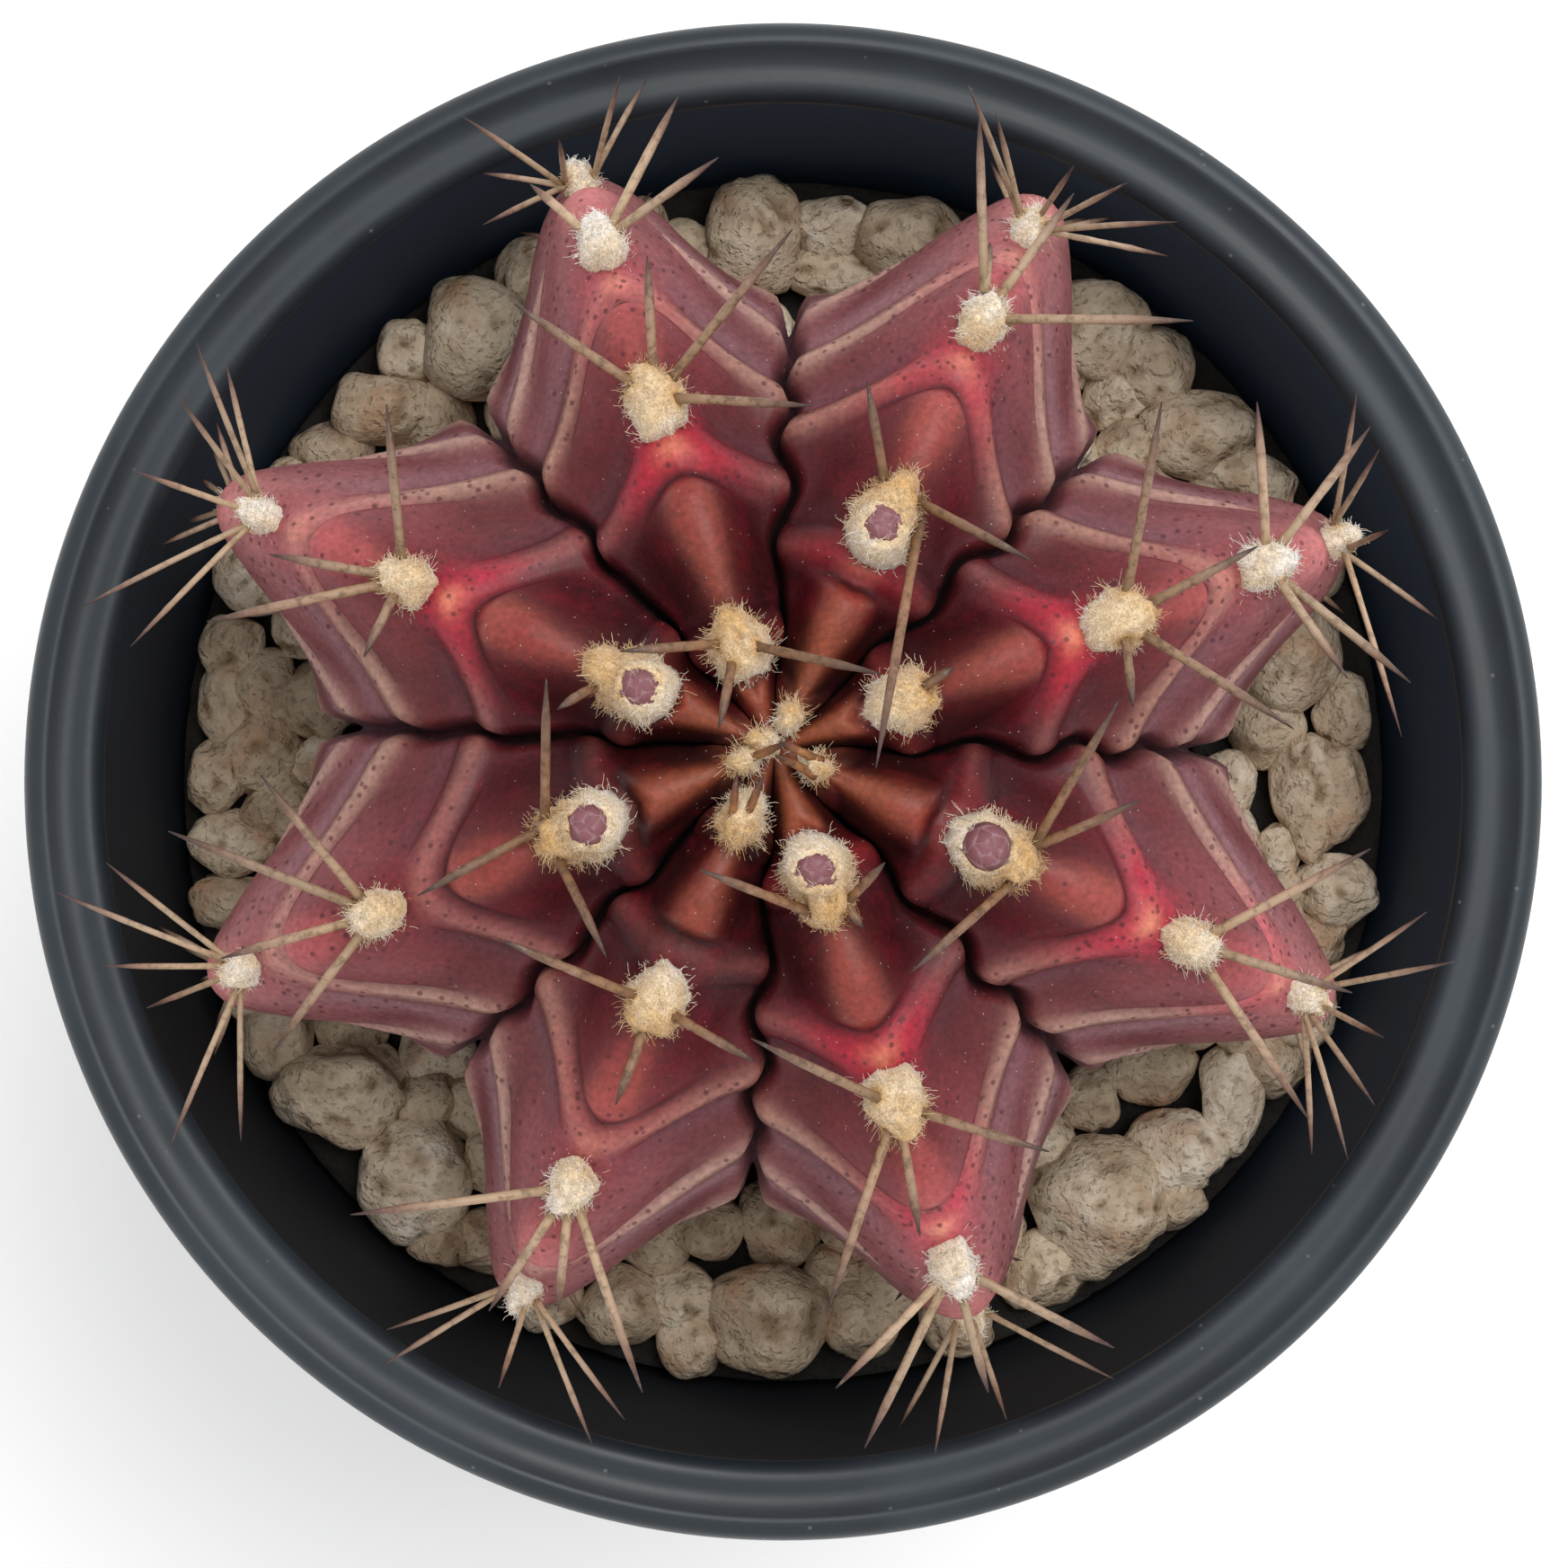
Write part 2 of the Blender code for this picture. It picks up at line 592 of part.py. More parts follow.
def pad_at(name, seat, size, tree, lumps, clearance):
    """A felted tuft that follows the skin underneath and is domed above."""
    length, width, height = size
    points = [skin_below(tree, seat.point, seat.normal) + seat.normal * clearance]
    for reach, level in PAD_LAYERS:
        for side in range(PAD_SIDES):
            angle = side * math.tau / PAD_SIDES
            size_here = reach * (1.0 + (lumps.uniform(-PAD_UNEVEN, PAD_UNEVEN) if level else 0.0))
            offset = seat.down * math.cos(angle) * length / 2 + seat.across * math.sin(angle) * width / 2
            skin = skin_below(tree, seat.point + offset * size_here, seat.normal)
            points.append(skin + seat.normal * (clearance + level * height))
    points.append(skin_below(tree, seat.point, seat.normal) + seat.normal * (clearance + height))
    top = len(points) - 1
    faces = []
    for side in range(PAD_SIDES):
        following = (side + 1) % PAD_SIDES
        faces.append((0, 1 + following, 1 + side))
        for layer in range(len(PAD_LAYERS) - 1):
            low = 1 + layer * PAD_SIDES
            high = low + PAD_SIDES
            faces.append((low + side, low + following, high + following))
            faces.append((low + side, high + following, high + side))
        faces.append((top, top - PAD_SIDES + side, top - PAD_SIDES + following))
    return mesh_from(name, points, faces)


def spine_points(root, tip, lift):
    """Root, a middle that bows up, and tip."""
    return (root, root.lerp(tip, 0.5) + Vector((0.0, 0.0, lift)), tip)


def spine_mesh(name, line, thickness):
    root, middle, tip = line
    points = []
    for centre, heading, radius in ((root, middle - root, thickness), (middle, tip - root, thickness * 0.8)):
        forward = heading.normalized()
        side = forward.cross(Vector((0.0, 0.0, 1.0))).normalized()
        upward = side.cross(forward)
        for corner in range(SPINE_SIDES):
            angle = corner * math.tau / SPINE_SIDES
            points.append(centre + (side * math.sin(angle) + upward * math.cos(angle)) * radius)
    points.append(tip)
    faces = [tuple(range(SPINE_SIDES - 1, -1, -1))]
    end = len(points) - 1
    for corner in range(SPINE_SIDES):
        following = (corner + 1) % SPINE_SIDES
        faces.append((corner, following, SPINE_SIDES + following, SPINE_SIDES + corner))
        faces.append((SPINE_SIDES + corner, SPINE_SIDES + following, end))
    mesh = mesh_from(name, points, faces)
    shape = bmesh.new()
    shape.from_mesh(mesh)
    bmesh.ops.recalc_face_normals(shape, faces=shape.faces)
    shape.to_mesh(mesh)
    shape.free()
    return mesh


def nearest_between(first, second):
    """Least distance between two straight runs, by sampling one of them."""
    least = 1.0
    for share in np.linspace(0.0, 1.0, 9):
        point = first[0].lerp(first[1], float(share))
        foot, along = intersect_point_line(point, second[0], second[1])
        foot = second[0] if along < 0.0 else second[1] if along > 1.0 else foot
        least = min(least, (point - foot).length)
    return least


def in_the_clear(line, owner, tree, placed, seats, buds):
    """True where a spine touches neither the skin, the pot, the stones, nor another areole."""
    runs = ((line[0], line[1]), (line[1], line[2]))
    for run in runs:
        for share in np.linspace(0.0, 1.0, 12):
            point = run[0].lerp(run[1], float(share))
            if tree.find_nearest(point)[3] < SPINE_RADIUS + SPINE_CLEARANCE:
                return False
            if any((point - seat.point).length < PAD_REACH for seat in seats if seat.name != owner.name):
                return False
            if any((point - bud).length < BUD_RADIUS + SPINE_RADIUS + SPINE_CLEARANCE for bud in buds):
                return False
            below_rim = point.z < POT_HEIGHT + WALL_CLEARANCE
            if below_rim and point.xy.length > inner_wall(point.z) - WALL_CLEARANCE:
                return False
            if point.z < STONE_LEVEL + STONE_CLEARANCE:
                return False
    for other, other_line in placed:
        if other == owner.name:
            continue
        for run in runs:
            for other_run in ((other_line[0], other_line[1]), (other_line[1], other_line[2])):
                if nearest_between(run, other_run) < 2 * SPINE_RADIUS + SPINE_GAP:
                    return False
    return True


def settle(owner, root, tip, tree, placed, seats, buds):
    """Lift a spine's tip, then shorten it, until it is clear of everything else."""
    for shrink in range(SHORTENINGS):
        for lift in range(LIFT_STEPS):
            raised = tip + Vector((0.0, 0.0, lift * LIFT_STEP))
            reach = root.lerp(raised, 1.0 - SHORTENING * shrink)
            bow = SPINE_BOW * (reach - root).length * (1.0 + 0.25 * lift)
            line = spine_points(root, reach, bow)
            if in_the_clear(line, owner, tree, placed, seats, buds):
                return line
    return None


def photo_tip(seat, root, pixel, order):
    """A spine's tip: its place in the photograph, at a height that gives the spine a natural length."""
    guess = photo_point(pixel, root.z)
    flat = guess - root
    flat.z = 0.0
    run = flat.length
    slope = math.atan2(-seat.normal.dot(flat.normalized()), max(seat.normal.z, 0.05))
    if seat.arc < THIN_SPINES_FROM:
        rise = run * math.tan(max(slope, STEEPEST_FALL) + SPINE_RISE)
    else:
        spare = math.sqrt(max(SPINE_LENGTH ** 2 - run ** 2, (0.15 * run) ** 2))
        outward = flat.normalized().dot(Vector((seat.point.x, seat.point.y, 0.0)).normalized())
        rise = spare * (OUTER_RISE if order % 2 == 0 or outward > 0.75 else OUTER_FALL)
    return photo_point(pixel, root.z + rise)


def spine_root(seat, tree, heading):
    """Where a spine leaves its pad: on its own side of the outer half, or beside a bud that it must pass."""
    if seat.name in BUD_AREOLES:
        passes = heading.normalized().dot(seat.down) < -0.7
        down, aside = BUD_PASSING if passes else (BUD_SPINES_DOWN, SPINE_SPREAD)
        place = seat.point + seat.down * down
        place += seat.across * math.copysign(aside, heading.dot(seat.across))
    else:
        sideways = heading - seat.normal * heading.dot(seat.normal)
        place = seat.point + sideways.normalized() * SPINE_SPREAD
    return skin_below(tree, place, seat.normal) + seat.normal * (PAD_CLEARANCE + SPINE_ROOT_LEVEL)


def fan_tip(seat, root, order, draws):
    """A tip for a spine that the body hides: a fan round the lower half of its areole."""
    angle = HIDDEN_FAN * (2 * order / (HIDDEN_SPINES - 1) - 1)
    angle += draws.uniform(-HIDDEN_FAN_UNEVEN, HIDDEN_FAN_UNEVEN)
    heading = seat.down * math.cos(angle) + seat.across * math.sin(angle) + seat.normal * HIDDEN_OUTWARD
    return root + heading.normalized() * HIDDEN_SPINE_LENGTH * draws.uniform(0.9, 1.1)


def build_areoles(parts, body, wool, bud_skin):
    tree = BVHTree.FromPolygons([vertex.co for vertex in body.data.vertices],
                                [tuple(face.vertices) for face in body.data.polygons])
    seats, crown_seats = all_seats()
    draws = random.Random(SPINE_SEED)
    placed = []
    buds = [bud_foot(seat, tree) + seat.normal * BUD_HEIGHT / 2 for seat in seats if seat.name in BUD_AREOLES]
    for seat in seats:
        pieces_home = new_collection("areole_pieces")
        tuft = pad_mesh(seat.name, seat, pad_size(seat), tree, draws)
        pad = add_object(f"areole_{seat.name}", tuft, parts, wool)
        base = skin_below(tree, seat.point, seat.normal)
        if seat.name in BUD_AREOLES:
            build_bud(seat, bud_foot(seat, tree), parts, bud_skin, pad)
        tips = SPINE_TIPS.get(seat.name, (None,) * HIDDEN_SPINES)
        pieces = []
        for order, pixel in enumerate(tips):
            rough = photo_point(pixel, base.z) if pixel else fan_tip(seat, base, order, draws)
            root = spine_root(seat, tree, rough - base)
            tip = photo_tip(seat, root, pixel, order) if pixel else rough + seat.normal * 0.6 * MM
            line = settle(seat, root, tip, tree, placed, seats, buds)
            if line is None:
                print("no clear way for a spine of", seat.name, order)
                continue
            placed.append((seat.name, line))
            thickness = SPINE_RADIUS if seat.arc < THIN_SPINES_FROM else SPINE_THIN
            mesh = spine_mesh("spine", line, thickness)
            pieces.append(add_object("spine", mesh, pieces_home))
        unite(pad, pieces, pieces_home)
        bpy.data.collections.remove(pieces_home)
    build_crown(parts, crown_seats, tree, wool, draws)


def build_crown(parts, seats, tree, wool, draws):
    """The youngest areoles crowd on the growing point and hold together as one tuft."""
    home = new_collection("crown_pieces")
    width, height = CROWN_CORE
    shape = bmesh.new()
    segments, layers = CROWN_CORE_FACETS
    bmesh.ops.create_uvsphere(shape, u_segments=segments, v_segments=layers, radius=0.5)
    middle = PLANT_CENTRE + Vector((0.0, 0.0, EQUATOR_Z + CROWN_RISE + CROWN_LIFT + height / 2))
    for vertex in shape.verts:
        vertex.co = Vector((vertex.co.x * width, vertex.co.y * width, vertex.co.z * height)) + middle
    core = bpy.data.meshes.new("crown_wool")
    shape.to_mesh(core)
    shape.free()
    crown = add_object("crown_wool", core, parts, wool)
    pieces = []
    for seat in seats:
        tuft = pad_mesh("tuft", seat, CROWN_TUFT, tree, draws)
        pieces.append(add_object("tuft", tuft, home))
        flat = Vector((seat.down.x, seat.down.y, 0.0)).normalized()
        heading = Vector((0.0, 0.0, math.sin(CROWN_SPINE_RISE))) - flat * math.cos(CROWN_SPINE_RISE)
        for aside in CROWN_SPINES.get(seat.name, ()):
            root = skin_below(tree, seat.point + seat.across * aside, seat.normal)
            root += seat.normal * (PAD_CLEARANCE + SPINE_ROOT_LEVEL)
            tip = root + heading * CROWN_SPINE_LENGTH * draws.uniform(0.8, 1.1)
            spine = spine_mesh("spine", spine_points(root, tip, 0.0), SPINE_RADIUS)
            pieces.append(add_object("spine", spine, home))
    unite(crown, pieces, home)
    bpy.data.collections.remove(home)


def bud_mesh(name, centre, seat, grow, scales):
    """An egg of overlapping scales: each ring of scales stands half a scale off the next."""
    points = [centre]
    for ring in range(1, BUD_RINGS):
        share = ring / BUD_RINGS
        lower, fuller = BUD_SHAPE
        radius = math.sin(math.pi * share ** lower) ** fuller * (BUD_RADIUS + grow)
        height = (1.0 - math.cos(math.pi * share)) / 2 * (BUD_HEIGHT + grow)
        for side in range(BUD_SIDES):
            angle = side * math.tau / BUD_SIDES
            edge = scales * BUD_SCALE_RISE * (1.0 if (side + ring) % 2 else -1.0)
            spoke = seat.down * math.cos(angle) + seat.across * math.sin(angle)
            points.append(centre + spoke * (radius + edge) + seat.normal * height)
    points.append(centre + seat.normal * (BUD_HEIGHT + grow))
    top = len(points) - 1
    faces = []
    for side in range(BUD_SIDES):
        following = (side + 1) % BUD_SIDES
        faces.append((0, 1 + following, 1 + side))
        for ring in range(BUD_RINGS - 2):
            low = 1 + ring * BUD_SIDES
            high = low + BUD_SIDES
            faces.append((low + side, low + following, high + following))
            faces.append((low + side, high + following, high + side))
        faces.append((top, top - BUD_SIDES + side, top - BUD_SIDES + following))
    return mesh_from(name, points, faces)


def bud_foot(seat, tree):
    return skin_below(tree, seat.point, seat.normal) + seat.normal * BUD_LIFT - seat.down * BUD_OFFSET


def build_bud(seat, foot, parts, material, pad):
    socket_mesh = bud_mesh("socket", foot - seat.normal * GAP, seat, GAP + BUD_SCALE_RISE, 0.0)
    socket = add_object("socket", socket_mesh, parts)
    cut(pad, socket)
    apply_modifiers(pad)
    bpy.data.objects.remove(socket, do_unlink=True)
    name = f"flower_bud_{seat.name[0]}"
    add_object(name, bud_mesh(name, foot, seat, 0.0, 1.0), parts, material)


def build_soil(parts, cutters, material):
    floor = FOOT_HEIGHT + FLOOR_THICKNESS + GAP
    profile = (
        (0.0, SOIL_TOP),
        (inner_wall(SOIL_TOP) - GAP - SOIL_SLACK, SOIL_TOP),
        (inner_wall(floor) - GAP - SOIL_SLACK, floor),
        (0.0, floor),
    )
    soil = turned("potting_mix", profile, SOIL_SIDES, parts, material)
    mouth = SOIL_TOP + ROOT_CUT_ABOVE
    hole = [(0.0, mouth), (ROOT_HOLE_MOUTH, mouth)]
    hole += [(radius + ROOT_ROOM, height) for radius, height in NECK]
    hole += [(0.0, ROOT_END - ROOT_ROOM)]
    cutter = turned("root_hole_cutter", hole, ROOT_HOLE_SIDES, cutters)
    cutter.location = PLANT_CENTRE
    cutter.hide_render = True
    cutter.display_type = "WIRE"
    cut(soil, cutter)
    return soil


def stone_places(draws):
    """Centre and size of each stone: those that show lie where they show, the others fill the ring."""
    scale = RIM_RADIUS / PHOTO_RIM_PX * (CAMERA_ABOVE_RIM + POT_HEIGHT - STONE_LEVEL) / CAMERA_ABOVE_RIM
    places = []
    for column, line, wide, deep in STONES_SEEN:
        centre = photo_point((column, line), STONE_LEVEL + draws.uniform(-0.3, 0.6) * MM)
        size = Vector((wide, deep, min(wide, deep) * STONE_FLATNESS)) * scale * SEEN_GROWTH
        places.append((centre, size))
    for _ in range(STONE_TRIES):
        if len(places) == len(STONES_SEEN) + EXTRA_STONES:
            break
        size = draws.uniform(*STONE_SIZES)
        angle = draws.uniform(0.0, math.tau)
        out = draws.uniform(*STONE_RING)
        level = STONE_LEVEL - draws.uniform(0.2, 0.9) * MM
        centre = Vector((out * math.cos(angle), out * math.sin(angle), level))
        if all((centre - other).xy.length > STONE_CROWDING * (size + max(large.xy)) for other, large in places):
            places.append((centre, Vector((size, size, size * STONE_FLATNESS))))
    return places


def stone_mesh(centre, size, draws, faceting):
    """A water-worn stone: a ball of few faces with uneven corners, its lower half sunk into the bed."""
    shape = bmesh.new()
    bmesh.ops.create_uvsphere(shape, u_segments=faceting[0], v_segments=faceting[1], radius=0.5)
    turn = Matrix.Rotation(draws.uniform(0.0, math.tau), 3, "Z")
    for vertex in shape.verts:
        point = turn @ vertex.co
        if point.z < 0.0 and point.xy.length > 0.1:
            point.xy = point.xy * STONE_ROOT_WIDTH / point.xy.length
        stretch = 1.0 + draws.uniform(-STONE_UNEVEN, STONE_UNEVEN) * (point.z > -0.1)
        corner = point * size * stretch + centre
        if point.z < -0.1:
            corner.z = BED_TOP - BED_THICKNESS * (0.4 if point.xy.length > 0.1 else 0.6)
        vertex.co = corner
    mesh = bpy.data.meshes.new("stone")
    shape.to_mesh(mesh)
    shape.free()
    return mesh


def build_pumice(parts, body, material):
    """A thin bed with stones fused into it, kept off the wall and off the plant."""
    low = BED_TOP - BED_THICKNESS
    edge = GAP + SOIL_SLACK
    profile = (
        (BED_HOLE, BED_TOP),
        (inner_wall(BED_TOP) - edge, BED_TOP),
        (inner_wall(low) - edge, low),
        (BED_HOLE, low),
    )
    bed = turned("pumice_topping", profile, SOIL_SIDES, parts, material)
    apply_modifiers(bed)
    tree = BVHTree.FromPolygons([vertex.co for vertex in body.data.vertices],
                                [tuple(face.vertices) for face in body.data.polygons])
    draws = random.Random(STONE_SEED)
    home = new_collection("stone_pieces")
    pieces = []
    for order, (centre, size) in enumerate(stone_places(draws)):
        faceting = SEEN_FACETING if order < len(STONES_SEEN) else EXTRA_FACETING
        reach = 0.5 * (1.0 + STONE_UNEVEN)
        limit = inner_wall(BED_TOP) - edge - max(size.xy) * reach
        out = centre.xy.length
        if out > limit:
            centre.xy = centre.xy * limit / out
        room = tree.find_nearest(centre)[3] - 3 * GAP
        size = size * min(max(room / (max(size) * reach), 0.0), 1.0)
        if min(size) > LEAST_STONE:
            centre.z = min(centre.z, BED_TOP + min(size) * STONE_SUNK)
            pieces.append(add_object("stone", stone_mesh(centre, size, draws, faceting), home))
    unite(bed, pieces, home)
    bpy.data.collections.remove(home)
    return bed


def build():
    clear_scene()
    parts = new_collection("potted_moon_cactus")
    cutters = new_collection("cutters")
    plastic = make_material("black_plastic", (0.022, 0.026, 0.030), 0.45)
    soil = make_material("potting_soil", (0.045, 0.030, 0.020), 0.95)
    pumice = make_material("pumice", (0.36, 0.31, 0.22), 0.92)
    skin = make_material("cactus_skin", (0.33, 0.085, 0.10), 0.5)
    wool = make_material("areole_wool", (0.70, 0.60, 0.44), 0.95)
    bud_skin = make_material("bud_scales", (0.42, 0.20, 0.28), 0.6)
    build_pot(parts, cutters, plastic)
    build_soil(parts, cutters, soil)
    body = build_body(parts, skin)
    build_areoles(parts, body, wool, bud_skin)
    build_pumice(parts, body, pumice)


build()
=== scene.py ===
import math
import random
from functools import partial

import bmesh
import bpy
import numpy as np
from mathutils import Matrix, Vector, noise
from mathutils.bvhtree import BVHTree


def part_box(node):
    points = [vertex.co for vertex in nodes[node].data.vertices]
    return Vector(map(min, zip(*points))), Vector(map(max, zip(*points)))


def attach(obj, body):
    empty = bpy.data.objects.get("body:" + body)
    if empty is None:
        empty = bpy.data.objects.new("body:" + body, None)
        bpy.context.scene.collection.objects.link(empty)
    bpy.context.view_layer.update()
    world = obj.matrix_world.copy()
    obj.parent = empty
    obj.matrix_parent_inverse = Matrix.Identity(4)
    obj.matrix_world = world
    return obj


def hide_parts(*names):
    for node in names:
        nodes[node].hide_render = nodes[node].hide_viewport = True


# A banded moon cactus in a round nursery pot, seen straight from above.
# Lengths are in millimetres here and become metres where a mesh is made.

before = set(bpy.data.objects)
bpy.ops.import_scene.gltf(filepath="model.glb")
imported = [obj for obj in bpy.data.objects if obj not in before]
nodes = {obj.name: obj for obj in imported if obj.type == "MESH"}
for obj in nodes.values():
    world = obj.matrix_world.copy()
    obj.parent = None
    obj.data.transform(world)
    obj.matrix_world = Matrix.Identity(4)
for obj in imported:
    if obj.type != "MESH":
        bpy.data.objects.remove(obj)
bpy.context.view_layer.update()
print("frame loaded:", len(nodes), "nodes")


def toLinear(hexColour):
    # sRGB hex to the linear values that a shader takes
    shares = [int(hexColour[place:place + 2], 16) / 255 for place in (1, 3, 5)]
    return (*(share / 12.92 if share <= 0.04045 else ((share + 0.055) / 1.055) ** 2.4 for share in shares), 1.0)


def scaleOf(millimetres):
    # how often a pattern of this real size repeats in a metre
    return 1000.0 / millimetres


def addNode(tree, kind, links=None, stops=None, **settings):
    # one node, with its settings, its ramp stops, and the links or values of its inputs
    node = tree.nodes.new(kind)
    for key, value in settings.items():
        setattr(node, key, value)
    if stops:
        ramp = node.color_ramp
        while len(ramp.elements) < len(stops):
            ramp.elements.new(1.0)
        for element, (place, colour) in zip(ramp.elements, stops):
            element.position = place
            element.color = toLinear(colour)
    for socket, value in (links or {}).items():
        if isinstance(value, bpy.types.NodeSocket):
            tree.links.new(value, node.inputs[socket])
        else:
            node.inputs[socket].default_value = value
    return node


def startMaterial(name, **surface):
    # a new material: what adds its nodes, its shader with the even values, and the object's own coordinates
    material = bpy.data.materials.new(name)
    material.use_nodes = True
    material.node_tree.nodes.clear()
    add = partial(addNode, material.node_tree)
    shader = add("ShaderNodeBsdfPrincipled", {key.replace("_", " "): value for key, value in surface.items()})
    add("ShaderNodeOutputMaterial", {"Surface": shader.outputs[0]})
    return material, add, shader, add("ShaderNodeTexCoord").outputs["Object"]


def follow(shader, **patterns):
    # links what the surface follows to the shader's sockets
    for key, value in patterns.items():
        shader.id_data.links.new(value, shader.inputs[key.replace("_", " ")])


def addObject(name, data):
    made = bpy.data.objects.new(name, data)
    bpy.context.scene.collection.objects.link(made)
    return made


def addPiece(name, points, faces, material, slot, **marks):
    # points in millimetres; faces are arrays of corner numbers, one array for each number of corners
    mesh = bpy.data.meshes.new(name)
    mesh.vertices.add(len(points))
    mesh.vertices.foreach_set("co", (np.asarray(points, float) * 0.001).ravel())
    counts = np.concatenate([np.full(len(group), group.shape[1]) for group in faces])
    corners = np.concatenate([group.ravel() for group in faces])
    mesh.loops.add(len(corners))
    mesh.loops.foreach_set("vertex_index", corners.astype(np.int32))
    mesh.polygons.add(len(counts))
    mesh.polygons.foreach_set("loop_start", np.concatenate(([0], np.cumsum(counts)[:-1])).astype(np.int32))
    mesh.update(calc_edges=True)
    mesh.validate()
    mesh.shade_smooth()
    for mark, values in marks.items():
        layer = mesh.attributes.new(mark, "FLOAT", "POINT")
        layer.data.foreach_set("value", np.asarray(values, np.float32).ravel())
    mesh.materials.append(material)
    piece = addObject(name, mesh)
    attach(piece, "root")
    return piece


def smoothStep(low, high, value):
    ramp = np.clip((value - low) / (high - low), 0.0, 1.0)
    return ramp * ramp * (3.0 - 2.0 * ramp)


def hill(value, width):
    # 1 at nought, fading evenly to both sides
    return np.exp(-(value / width) ** 2)


def fullTurn(sides):
    return np.arange(sides) * math.tau / sides


def unit(vectors):
    return vectors / np.maximum(np.linalg.norm(vectors, axis=-1, keepdims=True), 1e-9)


def gridFaces(rows, columns):
    # quads of a grid that closes round its columns, facing out where the rows run down
    row = np.arange(rows - 1)[:, None] * columns
    column = np.arange(columns)[None, :]
    following = (column + 1) % columns
    return np.stack((row + column, row + columns + column, row + columns + following, row + following),
                    axis=-1).reshape(-1, 4)


def closedFaces(rows, columns):
    # the same, closed by two more points after the grid's own: one before its first row, one after its last
    column = np.arange(columns)
    following = (column + 1) % columns
    top, low, last = rows * columns, rows * columns + 1, (rows - 1) * columns
    fans = np.concatenate((np.stack((np.full(columns, top), column, following), axis=-1),
                           np.stack((np.full(columns, low), last + following, last + column), axis=-1)))
    return [gridFaces(rows, columns), fans]


def strands(lines, radii, sides):
    # closed tubes along many lines at once: lines (count, steps, 3), radii (count, steps)
    count, steps = lines.shape[:2]
    along = unit(np.gradient(lines, axis=1))
    chord = unit(lines[:, -1] - lines[:, 0])
    spare = np.where(np.abs(chord[:, 2:3]) < 0.8, [[0.0, 0.0, 1.0]], [[1.0, 0.0, 0.0]])
    side = unit(np.cross(along, spare[:, None, :]))
    upward = np.cross(side, along)
    turn = fullTurn(sides)
    ring = side[:, :, None, :] * np.cos(turn)[:, None] + upward[:, :, None, :] * np.sin(turn)[:, None]
    points = lines[:, :, None, :] + ring * radii[:, :, None, None]
    first = np.arange(count)[:, None, None] * steps * sides
    row = first + np.arange(steps - 1)[None, :, None] * sides
    corner = np.arange(sides)[None, None, :]
    following = (corner + 1) % sides
    quads = np.stack((row + following, row + corner, row + sides + corner, row + sides + following), axis=-1)
    caps = np.concatenate((first[:, 0] + np.arange(sides),
                           first[:, 0] + (steps - 1) * sides + np.arange(sides)[::-1]))
    return points.reshape(-1, 3), [quads.reshape(-1, 4), caps]


def joined(parts):
    # several (points, faces) as one, with the corner numbers moved on
    points = np.concatenate([part[0] for part in parts])
    groups = {}
    start = 0
    for cloud, faces in parts:
        for group in faces:
            groups.setdefault(group.shape[1], []).append(group + start)
        start += len(cloud)
    return points, [np.concatenate(group) for group in groups.values()]


# camera

cameraLook = {"height": 428.0, "across": 0.045, "along": -0.112, "lens": 165.5, "sensor": 36.0}


def addCamera(look):
    data = bpy.data.cameras.new("topCamera")
    data.sensor_width = look["sensor"]
    data.lens = look["lens"]
    data.clip_start = 0.01
    data.clip_end = 20.0
    camera = addObject("topCamera", data)
    camera.location = Vector((look["across"], look["along"], look["height"])) * 0.001
    bpy.context.scene.camera = camera


addCamera(cameraLook)
print("camera set")

# the plant's form: the same rule as the solid's, on a fine grid; angles are in degrees

plant = {
    "centre": (-0.4, 1.6), "crestRadius": 29.3, "equator": 68.6, "crownRise": 15.6, "crownDip": 0.35,
    "underDrop": 20.0, "underLimit": 150.0, "neck": ((8.6, 47.6), (4.6, 41.0), (2.4, 30.0)), "rootEnd": 28.6,
    # the furrows, and how round the ribs are between them
    "furrowCut": 0.235, "furrowSink": 2.3, "furrowSwing": 2.3, "furrowBite": 1.9, "sinkGrowth": 4.0,
    "slitDepth": 2.0, "slitStart": 0.9, "crestRounding": 0.09, "plump": 0.8, "hollow": 1.95,
    "hollowFrom": 6.0, "hollowTo": 24.0,
    # the arms: the bands that run from each areole down both flanks
    "tier": 9.0, "armLead": 2.6, "armFullLeadAt": 12.0, "leastLead": 0.35, "armEvenAt": 14.9,
    "armSlant": 0.31, "armPull": 0.0035, "armCurve": 1.34, "armWidth": 1.35, "armRise": 0.52,
    "armOnCrest": 0.5, "armTier": 5.5,
    # the chins between the arms, their creases and clefts, and the swellings that the areoles sit on
    "chinRise": 1.3, "creaseDepth": 0.42, "creasePlace": 0.885, "cleftDepth": 0.2, "seatRise": 0.35,
    "seatLength": 1.8,
    # the grid
    "flankColumns": 24, "fineStep": 0.25, "fineTo": 54.0, "coarseStep": 0.9,
}
# each rib: its crest's angle, the furrow on its anticlockwise side, and its areoles' places along the crest
ribs = (
    ("d", -25.0, 0.0, (2.1, 11.6, 22.8, 32.0, 41.0, 50.0)),
    ("c", 20.5, 43.0, (6.5, 17.8, 26.7, 35.2, 44.0, 52.5)),
    ("b", 64.0, 88.0, (1.6, 12.1, 23.6, 31.2, 40.0, 49.0)),
    ("a", 109.0, 131.6, (5.2, 17.8, 27.4, 35.8, 44.5, 53.0)),
    ("h", 155.5, 177.0, (0.6, 7.5, 19.8, 29.8, 38.4, 47.2)),
    ("g", 202.5, 224.5, (1.5, 10.0, 21.2, 31.0, 39.2, 47.8)),
    ("f", 245.0, 267.0, (3.7, 13.4, 24.2, 33.8, 42.8, 51.5)),
    ("e", 289.0, 313.0, (6.6, 18.2, 28.4, 36.8, 45.5, 54.0)),
)

